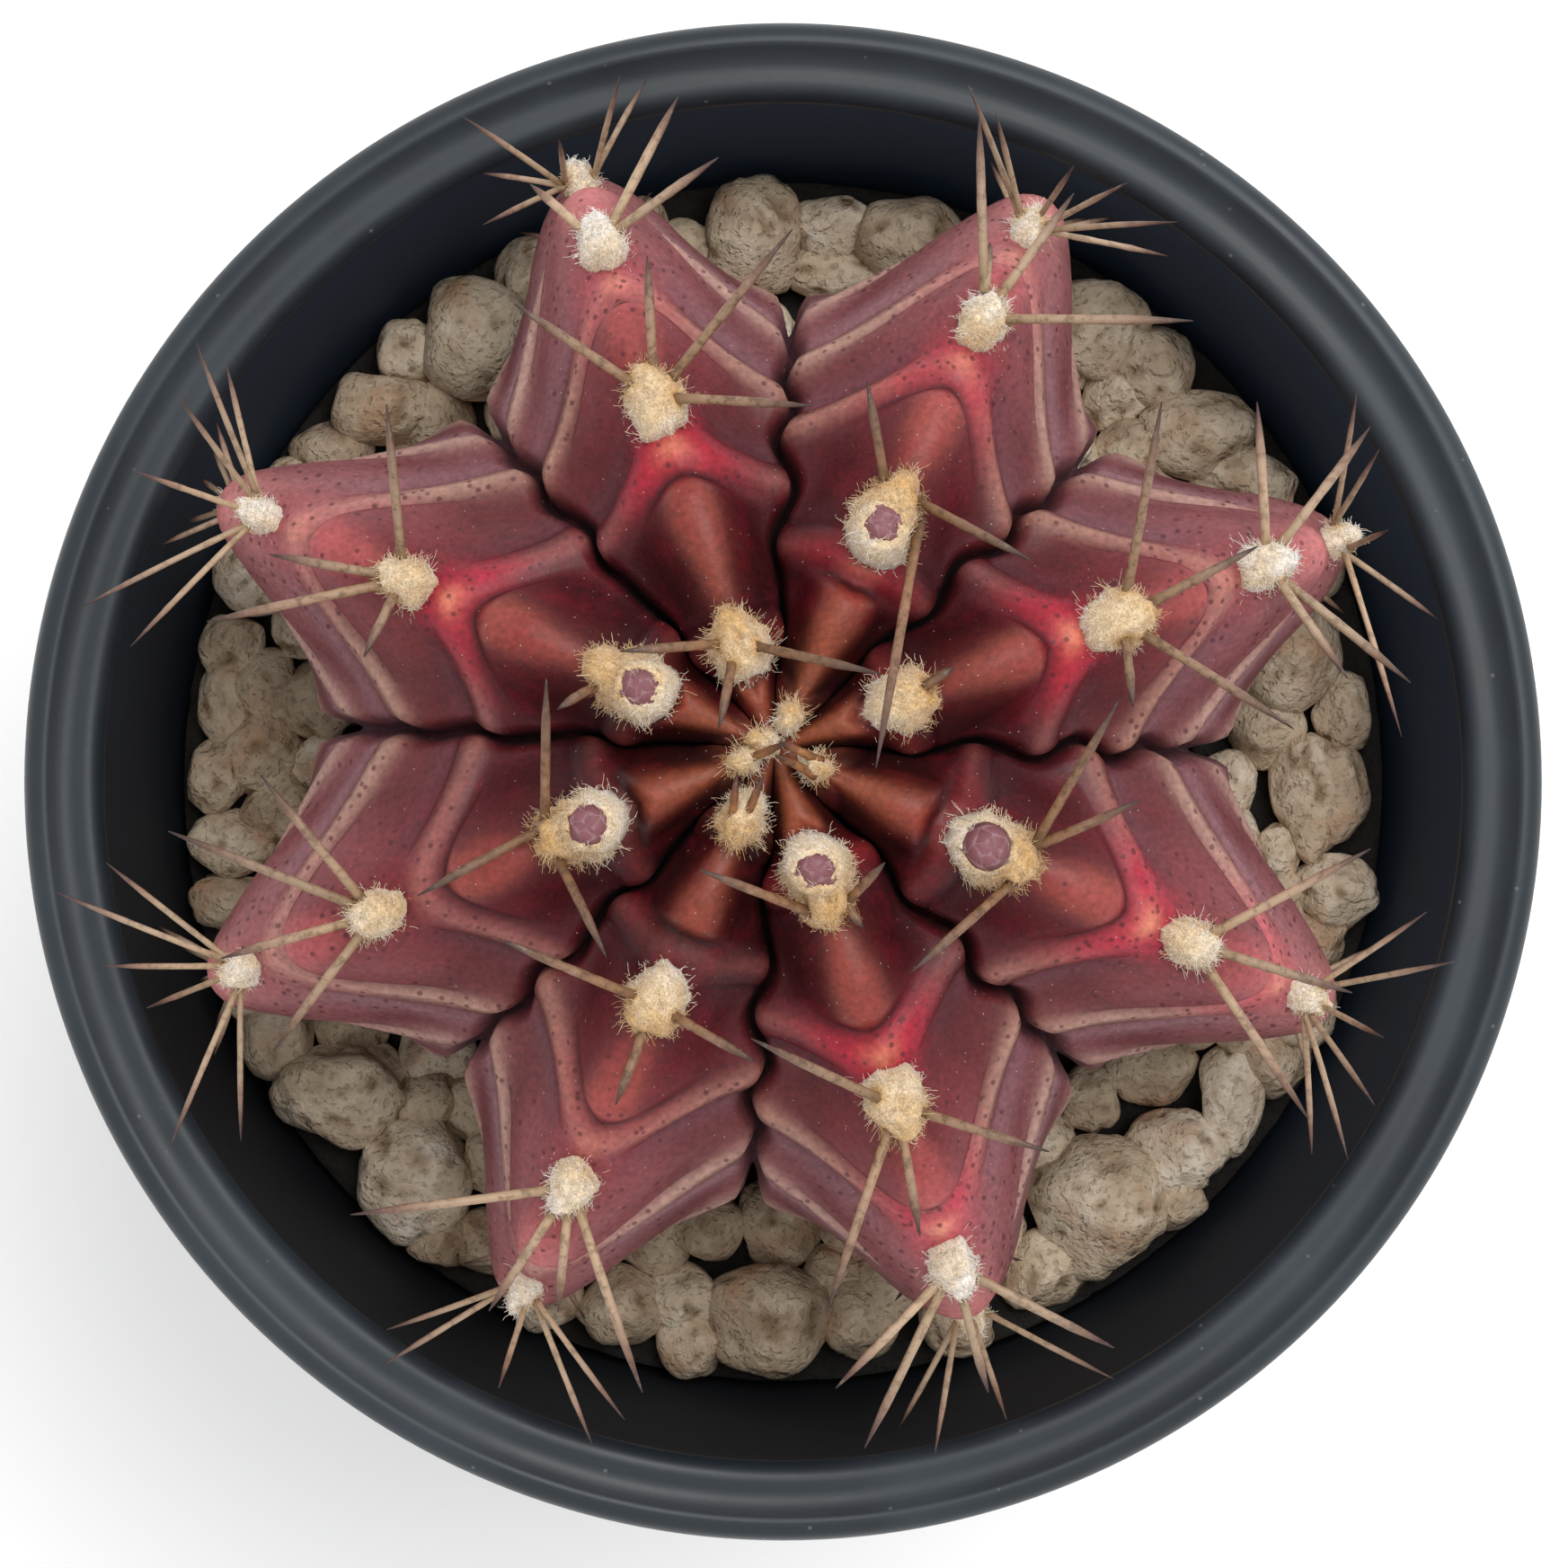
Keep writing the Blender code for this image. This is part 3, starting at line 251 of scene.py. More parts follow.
# how strongly each areole flushes pink, from the crown outward
flushes = {
    "d": (0.2, 0.5, 1.0, 0.95, 0.5, 0.5), "c": (0.5, 1.0, 0.5, 0.6, 0.5, 0.5),
    "b": (0.2, 0.75, 0.85, 0.7, 0.5, 0.5), "a": (0.5, 1.0, 0.75, 0.5, 0.5, 0.5),
    "h": (0.2, 0.35, 0.95, 0.65, 0.5, 0.5), "g": (0.2, 0.1, 0.3, 0.5, 0.5, 0.5),
    "f": (0.1, 0.12, 0.55, 0.5, 0.5, 0.5), "e": (0.75, 1.0, 1.0, 0.5, 0.5, 0.5),
}


def crestCurve():
    # arc length, radius and height along the plain crest, from the crown to under the body
    angle = np.linspace(0.0, math.radians(plant["underLimit"]), 601)
    out = plant["crestRadius"] * np.sin(angle)
    rise = np.where(angle < math.pi / 2, plant["crownRise"], plant["underDrop"]) * np.cos(angle)
    steps = np.hypot(np.diff(out), np.diff(rise))
    return np.concatenate(([0.0], np.cumsum(steps))), out, rise


crestArc, crestOut, crestUp = crestCurve()


def armEndShift(mark):
    # how far past its areole an arm meets the furrow: the outer arms run back towards the crown
    past = mark - plant["armEvenAt"]
    return np.clip(-plant["armSlant"] * past - plant["armPull"] * max(past, 0.0) ** 2, -14.0, 2.0)


def armLeadAt(mark):
    # how far towards the crown from its areole an arm crosses the crest
    return plant["armLead"] * np.clip(mark / plant["armFullLeadAt"], plant["leastLead"], 1.0)


def armLine(mark, across):
    lead = armLeadAt(mark)
    return mark - lead + (lead + armEndShift(mark)) * across ** plant["armCurve"]


def marksOf(index):
    areoles = ribs[index % len(ribs)][3]
    return [areoles[0] - plant["tier"], *areoles, areoles[-1] + plant["tier"]]


def furrowAngle(index, arc):
    index %= len(ribs)
    bites = [sum(hill(arc - mark - armEndShift(mark), plant["furrowBite"]) for mark in marksOf(which))
             for which in (index, index + 1)]
    swing = math.radians(plant["furrowSwing"]) * (bites[0] - bites[1])
    swing = swing * np.clip(arc / plant["tier"], 0.0, 1.0) * (1.0 - 0.88 * smoothStep(21.0, 33.0, arc))
    return math.radians(ribs[index][2]) + swing


def angleAt(index, side, across, arc):
    crest = math.radians(ribs[index][1])
    span = furrowAngle(index, arc) - crest if side > 0 else crest - furrowAngle(index - 1, arc)
    return crest + side * across * np.mod(span, math.tau)


def plainSkin(index, side, across, arc):
    out = np.interp(arc, crestArc, crestOut)
    rise = np.interp(arc, crestArc, crestUp)
    # the young crests near the crown are broad and round
    rounding = plant["crestRounding"] + 0.28 * smoothStep(11.0, 4.0, arc)
    rounded = (np.sqrt(across ** 2 + rounding ** 2) - rounding) / (np.sqrt(1 + rounding ** 2) - rounding)
    thinning = smoothStep(plant["hollowFrom"], plant["hollowTo"], arc)
    hollow = plant["plump"] + (plant["hollow"] - plant["plump"]) * thinning
    depth = 1.0 - (1.0 - np.clip(rounded, 0.0, 1.0)) ** hollow
    upness = np.clip(rise / plant["crownRise"], 0.0, 1.0)
    growth = 1.0 - hill(arc, plant["sinkGrowth"])
    slit = smoothStep(plant["slitStart"], 1.0, across) * plant["slitDepth"] * growth
    outward = out * (1.0 - plant["furrowCut"] * depth) - slit * (1.0 - upness)
    height = rise - plant["furrowSink"] * growth * depth * upness - slit * upness
    angle = angleAt(index, side, across, arc)
    x, y = plant["centre"]
    x, y = x + outward * np.cos(angle), y + outward * np.sin(angle)
    return np.stack((x, y, plant["equator"] + height), axis=-1)


def bandForm(marks, across, arc, aside):
    # the arms and the chins between them: how far they stand out, and their marks
    lines = [armLine(mark, across) for mark in marks]
    reach = plant["armOnCrest"] + (1.0 - plant["armOnCrest"]) * smoothStep(0.05, 0.35, across)
    reach = reach * smoothStep(1.0, 0.84, across)
    lift = np.zeros(arc.shape)
    shown = {name: np.zeros(arc.shape) for name in ("arm", "slate", "chin", "crease", "cleft", "ridge")}
    wide = 0.95 + 0.5 * smoothStep(16.0, 28.0, arc)
    ridge = hill(aside, 0.6 + 0.72 * smoothStep(20.0, 34.0, arc))
    for near, far in zip(lines, lines[1:]):
        tier = far - near
        place = (arc - near) / tier
        here = (place >= 0.0) & (place < 1.0)
        full = np.clip(tier / plant["armTier"], 0.3, 1.0)
        past = place * tier / full
        before = (1.0 - place) * tier / full
        band = hill(past, plant["armWidth"]) + hill(before, plant["armWidth"])
        chin = smoothStep(0.12, 0.68, place) * smoothStep(0.965, 0.78, place)
        keel = 0.82 * smoothStep(0.86, 0.0, across) + 0.18 * hill(aside, 1.5)
        crease = hill(place - plant["creasePlace"], 0.06) * smoothStep(0.9, 0.3, across)
        cleft = hill(past - 1.75, 0.3) * smoothStep(0.1, 0.35, across) * smoothStep(1.0, 0.86, across)
        armForm = plant["armRise"] * (1.0 - 0.4 * smoothStep(27.0, 37.0, arc)) * reach * band
        chinForm = plant["chinRise"] * chin * keel - plant["creaseDepth"] * crease
        shape = full * (armForm - plant["cleftDepth"] * cleft)
        shape = shape + np.clip(tier / plant["tier"], 0.25, 1.0) * chinForm
        lift = np.where(here, shape, lift)
        seen = {
            "arm": np.maximum(hill(past, wide), hill(before, wide)) * smoothStep(1.0, 0.88, across),
            # a grey-mauve band outward of each arm: partly the skin's grey, partly painted shade beside the
            # raised arm
            "slate": smoothStep(1.2, 1.9, past) * smoothStep(4.4, 2.0, past) * smoothStep(0.08, 0.35, across),
            # the chin and ridge marks: the skin's orange-brown along the chins and crests, with a painted
            # highlight along them
            "chin": smoothStep(0.3, 0.7, place) * smoothStep(0.95, 0.78, place) * hill(aside, 0.95),
            # the crease and cleft marks paint dark lines under each chin and beside each arm: painted shade
            "crease": hill(place - plant["creasePlace"], 0.038) * smoothStep(0.72, 0.25, across),
            "cleft": hill(past - 1.7, 0.22) * smoothStep(0.1, 0.4, across) * smoothStep(1.0, 0.9, across),
            "ridge": ridge * smoothStep(0.12, 0.4, place) * smoothStep(0.95, 0.8, place),
        }
        for name, values in seen.items():
            shown[name] = np.where(here, values, shown[name])
    return lift, shown


def flushForm(index, marks, across, arc, aside):
    # each areole's own flush of new growth lies between its wool and the chin above, and fades along its arms;
    # the glow just crownward of its wool is a painted highlight
    flush, glow = np.zeros(arc.shape), np.zeros(arc.shape)
    outward = 2.1 + 0.9 * smoothStep(2.4, 0.4, aside)
    for mark, strength in zip(marks[1:], flushes[ribs[index][0]]):
        off = arc - armLine(mark, across)
        spread = hill(off, np.where(off < 0.0, 1.6, outward)) * smoothStep(6.5, 0.6, aside)
        tip = hill(arc - mark + 2.3, 0.85) * hill(aside, 0.95)
        flush = np.maximum(flush, strength * spread)
        glow = np.maximum(glow, strength * tip)
    return {"flush": flush, "glow": glow}


def skinForm(index, across, arc):
    # how far the skin stands out of the plain one, and the marks that the colours follow, each from 0 to 1
    marks = marksOf(index)
    # millimetres aside from the crest: half a rib is 0.39 of a radian wide
    aside = across * np.interp(arc, crestArc, crestOut) * 0.39
    lift, shown = bandForm(marks, across, arc, aside)
    seat = sum(hill(arc - mark, plant["seatLength"]) for mark in marks)
    seat = seat * smoothStep(0.0, 0.14, across) * smoothStep(0.42, 0.16, across)
    lift = (lift + plant["seatRise"] * seat) * smoothStep(0.0, 8.0, arc)
    shown.update(flushForm(index, marks, across, arc, aside))
    near = sum(hill(arc - mark, 3.2) for mark in marks)
    shown["dots"] = 0.1 + 0.6 * near * smoothStep(0.7, 0.1, across) + 0.7 * shown["arm"] ** 2
    shown["dots"] *= smoothStep(12.0, 19.0, arc)
    # the young crests near the crown get the same orange-brown with a painted highlight
    shown["ridge"] = np.maximum(shown["ridge"], 0.9 * smoothStep(9.0, 5.0, arc) * hill(aside, 0.62))
    # the furrow mark paints the slits between the ribs near black: painted shade
    shown["furrow"] = smoothStep(0.88, 0.985, across)
    # the flanks darken towards the furrows: partly the skin's deeper red, partly painted shade
    shown["flank"] = smoothStep(0.12, 0.6, across)
    shown["age"] = np.clip(arc / 50.0, 0.0, 1.0)
    return lift, shown


def arcOf(row, across):
    # the grid's rows run along the arms, so that each band stays clean
    kept = smoothStep(0.0, 6.0, row) * smoothStep(72.0, 56.0, row)
    lead = armLeadAt(row)
    shift = np.array([armEndShift(place) for place in row])
    return np.maximum(row + kept * (-lead + (lead + shift) * across ** plant["armCurve"]), 0.1)


def fineSkin():
    row = np.concatenate((np.arange(plant["fineStep"], plant["fineTo"], plant["fineStep"]),
                          np.arange(plant["fineTo"], crestArc[-1], plant["coarseStep"]), [crestArc[-1]]))
    across = (1.0 - np.cos(np.pi * np.arange(plant["flankColumns"] + 1) / plant["flankColumns"])) / 2.0
    plain, lifts, shown = [], [], {}
    for index in range(len(ribs)):
        flanks = [(-1, value) for value in across[::-1]] + [(1, value) for value in across[1:-1]]
        for side, value in flanks:
            steady = np.full(row.shape, value)
            arc = arcOf(row, value)
            plain.append(plainSkin(index, side, steady, arc))
            lift, marks = skinForm(index, steady, arc)
            lifts.append(lift)
            for name, values in marks.items():
                shown.setdefault(name, []).append(values)
    plain = np.stack(plain, axis=1)
    lifts = np.stack(lifts, axis=1)
    along = np.gradient(plain, axis=0)
    around = np.roll(plain, -1, axis=1) - np.roll(plain, 1, axis=1)
    grid = plain + unit(np.cross(along, around)) * lifts[..., None]
    shown = {name: np.stack(values, axis=1) for name, values in shown.items()}
    # the neck and root go down into the mix under the body
    x, y = plant["centre"]
    flat = unit(grid[-1, :, :2] - (x, y))
    rings = [np.column_stack((flat * radius + (x, y), np.full(len(flat), height)))
             for radius, height in plant["neck"]]
    grid = np.concatenate((grid, rings))
    shown = {name: np.concatenate((values, np.repeat(values[-1:], len(rings), axis=0)))
             for name, values in shown.items()}
    return grid, shown


def buildSkin(material):
    grid, shown = fineSkin()
    rows, columns = grid.shape[:2]
    x, y = plant["centre"]
    crown = (x, y, plant["equator"] + plant["crownRise"] - plant["crownDip"])
    points = np.concatenate((grid.reshape(-1, 3), [crown, (x, y, plant["rootEnd"])]))
    marks = {name: np.concatenate((values.ravel(), [values[0].mean(), values[-1].mean()]))
             for name, values in shown.items()}
    piece = addPiece("cactusSkin", points, closedFaces(rows, columns), material, "cactus_skin", **marks)
    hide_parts("cactus_body")
    return BVHTree.FromPolygons([Vector(point) for point in points],
                                [tuple(face) for face in gridFaces(rows, columns)])


# cactus epidermis: a living skin with a waxy bloom. The eye sees soft gloss on the crests, wine red
# that pales outward, tan bands, and fine dark and pale specks.

skinLook = {
    "ground": ((0.0, "#5c2c1c"), (0.06, "#4a1d12"), (0.14, "#3f1110"), (0.24, "#481216"), (0.34, "#58181f"),
               (0.42, "#6c2a2e"), (0.5, "#7a3e42"), (0.64, "#885456"), (0.8, "#8a5a58"), (1.0, "#805c54")),
    # flank: partly the skin's deeper red, partly painted shade on the sides of the ribs
    "flank": ((0.0, "#1c0907"), (0.12, "#260a08"), (0.24, "#2e080c"), (0.36, "#440f15"), (0.46, "#562224"),
              (0.6, "#68363a"), (1.0, "#704a4a")),
    # the grey-mauve band outward of each arm: partly the skin's grey, partly painted shade
    "slate": ((0.0, "#1e090a"), (0.2, "#2c0d12"), (0.34, "#45191f"), (0.44, "#5e3038"), (0.54, "#764e55"),
              (0.7, "#8a666a"), (1.0, "#7c5c58")),
    # chin: the skin's orange-brown, with a painted highlight along each chin
    "chin": ((0.0, "#5c2616"), (0.12, "#74321e"), (0.2, "#8a4028"), (0.32, "#a05440"), (0.42, "#96483f"),
             (0.55, "#ac4c56"), (0.7, "#ba6670"), (1.0, "#a06a64")),
    "arm": ((0.0, "#5a3020"), (0.2, "#542626"), (0.28, "#663432"), (0.35, "#824e4c"), (0.43, "#96665a"),
            (0.5, "#9e7a6c"), (0.6, "#a8857a"), (0.8, "#ae8c82"), (1.0, "#a08c74")),
    "flush": ((0.0, "#7a2018"), (0.14, "#941626"), (0.26, "#9c122a"), (0.36, "#a21a34"), (0.5, "#ae2e46"),
              (0.62, "#c25e66"), (0.85, "#bc6c66"), (1.0, "#a46c60")),
    # ridge: the crest's orange-brown, with a painted highlight along it
    "ridge": ((0.0, "#84462c"), (0.08, "#8e4a30"), (0.16, "#883f30"), (0.24, "#863b33"), (0.36, "#964440"),
              (0.5, "#aa5456"), (0.62, "#ba716e"), (0.75, "#be817c"), (1.0, "#a47468")),
    # crease and cleft: painted shade in the creases under the chins and the clefts beside the arms
    "crease": ((0.0, "#120506"), (0.25, "#20070a"), (0.45, "#380f15"), (1.0, "#5a3234")),
    "cleft": ((0.0, "#1a0708"), (0.3, "#2a0b10"), (0.5, "#46161e"), (0.7, "#5c262c"), (1.0, "#5c3434")),
    # furrow: painted shade, near black in the slits between the ribs
    "furrow": ((0.0, "#0a0303"), (0.3, "#140507"), (0.48, "#220b10"), (0.6, "#452a30"), (0.7, "#5a4046"),
               (1.0, "#5c4444")),
    # glow: a painted highlight just crownward of each pad
    "glow": ((0.0, "#a8583c"), (0.3, "#d07c60"), (0.5, "#d8927a"), (1.0, "#c88c78")),
    "amounts": {"flank": 0.85, "slate": 0.85, "chin": 0.5, "arm": 0.9, "cleft": 0.45, "ridge": 0.78,
                "flush": 1.0, "crease": 0.85, "glow": 0.75, "furrow": 0.95},
    "mottle": 0.3, "mottleDepth": 0.26, "bloom": "#7c1426", "dotSize": 0.56, "dotRadius": 0.175,
    "dotColour": "#4a1c24", "dustSize": 0.42, "dustRadius": 0.05, "dustColour": "#b8a49e", "grain": 0.14,
}


def epidermisMaterial(look):
    material, add, shader, place = startMaterial(
        "cactusEpidermis", IOR=1.42, Specular_IOR_Level=0.34, Subsurface_Weight=0.06, Subsurface_Scale=0.0012,
        Subsurface_Radius=(1.0, 0.35, 0.25))
    marks = {name: add("ShaderNodeAttribute", attribute_name=name).outputs["Fac"]
             for name in ("age", "dots", *look["amounts"])}
    uneven = add("ShaderNodeTexNoise", {"Vector": place, "Scale": scaleOf(1.6), "Detail": 4.0}).outputs["Fac"]
    colour = add("ShaderNodeValToRGB", {"Fac": marks["age"]}, stops=look["ground"]).outputs["Color"]
    # noise makes each mark's edge uneven, as where pigment thins out; the painted shade and highlight marks get
    # the same uneven edge
    edge = add("ShaderNodeMath", {0: uneven, 1: 0.7, 2: -0.35}, operation="MULTIPLY_ADD").outputs[0]
    for name, amount in look["amounts"].items():
        tint = add("ShaderNodeValToRGB", {"Fac": marks["age"]}, stops=look[name]).outputs["Color"]
        faded = add("ShaderNodeMath", {0: marks[name], 1: edge}, operation="ADD").outputs[0]
        kept = add("ShaderNodeMath", {0: faded, 1: marks[name]}, operation="MULTIPLY").outputs[0]
        share = add("ShaderNodeMath", {0: kept, 1: amount}, operation="MULTIPLY", use_clamp=True).outputs[0]
        colour = add("ShaderNodeMix", {0: share, 6: colour, 7: tint}, data_type="RGBA").outputs[2]
    # the red pigment itself lies in loose clouds
    clouds = add("ShaderNodeTexNoise",
                 {"Vector": place, "Scale": scaleOf(2.6), "Detail": 5.0, "Roughness": 0.65}).outputs["Fac"]
    cloud = add("ShaderNodeMapRange", {0: clouds, 1: 0.5, 2: 0.68, 3: 0.0, 4: 0.3}).outputs[0]
    inner = add("ShaderNodeMapRange", {0: marks["age"], 1: 0.3, 2: 0.55, 3: 1.0, 4: 0.15}).outputs[0]
    cloud = add("ShaderNodeMath", {0: cloud, 1: inner}, operation="MULTIPLY").outputs[0]
    colour = add("ShaderNodeMix", {0: cloud, 6: colour, 7: toLinear(look["bloom"])},
                 data_type="RGBA").outputs[2]
    mottle = add("ShaderNodeTexNoise", {"Vector": place, "Scale": scaleOf(look["mottle"]), "Detail": 3.0})
    grain = add("ShaderNodeMapRange", {0: mottle.outputs["Fac"], 1: 0.25, 2: 0.75,
                                       3: 1.0 - look["mottleDepth"], 4: 1.0 + look["mottleDepth"]}).outputs[0]
    colour = add("ShaderNodeMix", {0: 1.0, 6: colour, 7: grain}, data_type="RGBA",
                 blend_type="MULTIPLY").outputs[2]
    spots = []
    for size, radius, rarity in ((look["dotSize"], look["dotRadius"], marks["dots"]),
                                 (look["dustSize"], look["dustRadius"], 0.3)):
        cells = add("ShaderNodeTexVoronoi", {"Vector": place, "Scale": scaleOf(size)})
        spot = add("ShaderNodeMapRange", {0: cells.outputs["Distance"], 1: radius / size,
                                          2: 0.55 * radius / size, 3: 0.0, 4: 1.0}).outputs[0]
        draw = add("ShaderNodeSeparateColor", {0: cells.outputs["Color"]}).outputs[0]
        chosen = add("ShaderNodeMath", {0: draw, 1: rarity}, operation="LESS_THAN").outputs[0]
        spots.append(add("ShaderNodeMath", {0: spot, 1: chosen}, operation="MULTIPLY").outputs[0])
    for spot, tint, amount in zip(spots, (look["dotColour"], look["dustColour"]), (0.7, 0.6)):
        share = add("ShaderNodeMath", {0: spot, 1: amount}, operation="MULTIPLY").outputs[0]
        colour = add("ShaderNodeMix", {0: share, 6: colour, 7: toLinear(tint)}, data_type="RGBA").outputs[2]
    fine = add("ShaderNodeTexNoise", {"Vector": place, "Scale": scaleOf(look["grain"]), "Detail": 2.0})
    height = add("ShaderNodeMath", {0: spots[0], 1: -0.5, 2: fine.outputs["Fac"]},
                 operation="MULTIPLY_ADD").outputs[0]
    bump = add("ShaderNodeBump", {"Strength": 0.35, "Distance": 0.00006, "Height": height})
    gloss = add("ShaderNodeMapRange", {0: uneven, 1: 0.3, 2: 0.7, 3: 0.36, 4: 0.52}).outputs[0]
    gloss = add("ShaderNodeMath", {0: marks["furrow"], 1: 0.45, 2: gloss}, operation="MULTIPLY_ADD").outputs[0]
    follow(shader, Base_Color=colour, Roughness=gloss, Normal=bump.outputs[0])
    return material


skinTree = buildSkin(epidermisMaterial(skinLook))
print("skin built")

# areoles: wool and spines

# the length, width and height of a pad, up to each place along a rib
padSizes = ((4.5, (3.2, 2.4, 1.3)), (9.0, (3.8, 3.2, 1.4)), (19.0, (3.8, 3.1, 1.5)), (29.0, (2.9, 2.4, 1.3)),
            (38.0, (2.1, 1.8, 1.1)), (99.0, (2.0, 1.7, 1.0)))
# the pad of an areole that bears a bud
budPad = (4.9, 3.4, 1.6)
# how wide each bud opens in its wool
openings = {"b2": 0.66, "d2": 1.25, "e1": 0.66, "g2": 0.85, "h2": 0.7}
# a bud's scales turn by the spiral's angle, in degrees, from one to the next
budShape = {"radius": 1.15, "height": 2.3, "lower": 0.85, "fuller": 0.75, "scales": 26, "spiral": 137.5,
            "rings": 72, "sides": 96, "seed": 31}
woolLook = {
    "hairs": 600, "outerHairs": 340, "hiddenHairs": 90, "length": (0.2, 0.42), "radius": 0.022, "curl": 0.5,
    "coil": 0.05, "steps": 5, "locks": 40, "lockPull": 0.25, "lumps": 0.34, "lumpSize": 0.46, "fine": 0.16,
    "fineSize": 0.2, "shell": 1.5, "edgeShare": 0.4, "seed": 21,
    "crownHairs": 240, "crownPad": (1.9, 1.5, 1.1), "budHairs": 1.5, "grid": (12, 34), "budGrid": (18, 48),
    "cream": ((0.0, "#f2ece5"), (0.35, "#e4cba6"), (0.7, "#d0a468"), (1.0, "#906030")),
}
spineLook = {
    "radius": 0.25, "thin": 0.162, "thinFrom": 29.0, "fresh": 0.22, "freshTo": 4.5, "rings": 18, "sides": 9,
    "rootDepth": 0.8, "outerRoot": 1.2,
    "new": ((0.0, "#5c3414"), (0.1, "#7c481e"), (0.45, "#8e5c2c"), (0.7, "#6e3e20"), (0.88, "#442214"),
            (1.0, "#2a120c")),
    "young": ((0.0, "#452a18"), (0.08, "#664626"), (0.3, "#805a3a"), (0.6, "#785640"), (0.82, "#5c4232"),
              (0.94, "#382422"), (1.0, "#221210")),
    "old": ((0.0, "#766048"), (0.07, "#9c805e"), (0.3, "#b2987c"), (0.6, "#a88e76"), (0.76, "#886a58"),
            (0.9, "#50362f"), (1.0, "#281614")),
    "blot": "#4e3420", "chalk": "#b8a898",
}
# the two new spines over the wool of f1: foot, middle and tip
newSpines = {"f1": (((-2.42, -1.95, 85.0), (-2.32, -0.75, 85.95), (-2.17, 0.45, 86.1)),
                    ((-1.66, -1.6, 85.1), (-1.34, -0.68, 86.0), (-0.94, 0.3, 86.3)))}


def seatAt(index, arc):
    # where an areole sits: a point on the crest, the normal, and the ways down and across
    crest = math.radians(ribs[index][1])
    above, here, below = (np.array((np.interp(place, crestArc, crestOut), np.interp(place, crestArc, crestUp)))
                          for place in (arc - 1.6, arc, arc + 1.6))
    out, up = (below - above) / np.linalg.norm(below - above)
    spoke = Vector((math.cos(crest), math.sin(crest), 0.0))
    down = spoke * out + Vector((0.0, 0.0, up))
    normal = spoke * -up + Vector((0.0, 0.0, out))
    point = Vector((*plant["centre"], plant["equator"] + here[1])) + spoke * here[0]
    return {"arc": arc, "point": point, "normal": normal, "down": down, "across": normal.cross(down)}


def middleOf(node):
    # the middle of a CAD node's box, in millimetres
    low, high = (np.array(corner) * 1000.0 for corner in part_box(node))
    return (low + high) / 2.0


def skinBelow(point, normal):
    hit = skinTree.ray_cast(point + normal * 4.0, -normal, 9.0)[0]
    return hit if hit else point


def spineAxes(node):
    # the axis of each spine of a CAD areole: where it leaves the pad, its middle and its tip
    cloud = np.array([vertex.co for vertex in node.data.vertices]) * 1000.0
    spots, number = np.unique(np.round(cloud, 3), axis=0, return_inverse=True)
    number = number.reshape(-1)
    beside = {}
    for polygon in node.data.polygons:
        corners = [int(number[vertex]) for vertex in polygon.vertices]
        for first, second in zip(corners, corners[1:] + corners[:1]):
            if first != second:
                beside.setdefault(first, set()).add(second)
                beside.setdefault(second, set()).add(first)
    axes = []
    for tip, ring in beside.items():
        rays = spots[list(ring)] - spots[tip]
        heading = unit(rays.mean(axis=0))
        if np.linalg.norm(rays, axis=1).min() < 0.7 or (unit(rays) @ heading).min() < 0.9:
            continue
        middle = spots[list(ring)].mean(axis=0)
        far = set().union(*(beside[corner] for corner in ring)) - ring - {tip}
        foot = [spots[spot] for spot in far if np.dot(spots[spot] - middle, heading) > 0.2]
        slim = len(ring) == 3 and np.linalg.norm(spots[list(ring)] - middle, axis=1).max() < 0.32
        if not slim or not foot:
            # a short spine whose middle lies in the wool
            foot = [middle]
            middle = (middle + spots[tip]) / 2.0
        axes.append((np.mean(foot, axis=0), middle, spots[tip]))
    return axes


def spineLines(axes, depth, look):
    lines = []
    share = np.linspace(0.0, 1.0, look["rings"])[:, None]
    for foot, middle, tip in axes:
        root = foot + unit(foot - middle) * depth
        before, after = np.linalg.norm(middle - root), np.linalg.norm(tip - middle)
        turn = before / (before + after)
        # one smooth bend through all three
        lines.append(root * (share - turn) * (share - 1.0) / turn
                     + middle * share * (share - 1.0) / (turn * (turn - 1.0))
                     + tip * share * (share - turn) / (1.0 - turn))
    return np.array(lines)


def spineTubes(axes, arc, look, draws):
    lines = spineLines(axes, look["rootDepth"] if arc < 19.0 else look["outerRoot"], look)
    share = np.linspace(0.0, 1.0, look["rings"])
    thick = look["radius" if arc < look["thinFrom"] else "thin"]
    if arc < look["freshTo"]:
        thick = look["fresh"]
    point = 0.78 * np.clip((share - 0.7) / 0.3, 0.0, 1.0) ** 1.35
    taper = 1.0 + 0.14 * smoothStep(0.2, 0.06, share) - 0.1 * share - point
    radii = thick * taper * (1.0 + draws.normal(0.0, 0.035, (len(lines), len(share))))
    points, faces = strands(lines, radii, look["sides"])
    along = np.tile(np.repeat(share, look["sides"]), len(lines))
    tone = np.repeat(draws.uniform(0.0, 1.0, len(lines)), len(share) * look["sides"])
    old = np.full(len(points), float(smoothStep(10.0, 30.0, arc)))
    fresh = np.full(len(points), 1.0 if arc < look["freshTo"] else 0.0)
    return points, faces, {"along": along, "tone": tone, "old": old, "fresh": fresh}


def padOutline(size, turn, budSide, look, draws):
    # how far the pad's edge lies from its middle: an uneven oval, which a bud's woolly shell widens
    length, width = size[0] / 2.0, size[1] / 2.0
    edge = 1.0 / np.hypot(np.cos(turn) / length, np.sin(turn) / width)
    for waves, depth in ((3, 0.06), (5, 0.05), (9, 0.035), (14, 0.03)):
        edge = edge * (1.0 + depth * np.sin(waves * turn + draws.uniform(0.0, 6.0)))
    if budSide is not None:
        toward = np.cos(turn) * budSide[0] + np.sin(turn) * budSide[1]
        shell = toward + np.sqrt(np.maximum(look["shell"] ** 2 - (np.hypot(*budSide) ** 2 - toward ** 2), 0.0))
        edge = np.maximum(edge, shell)
    return edge


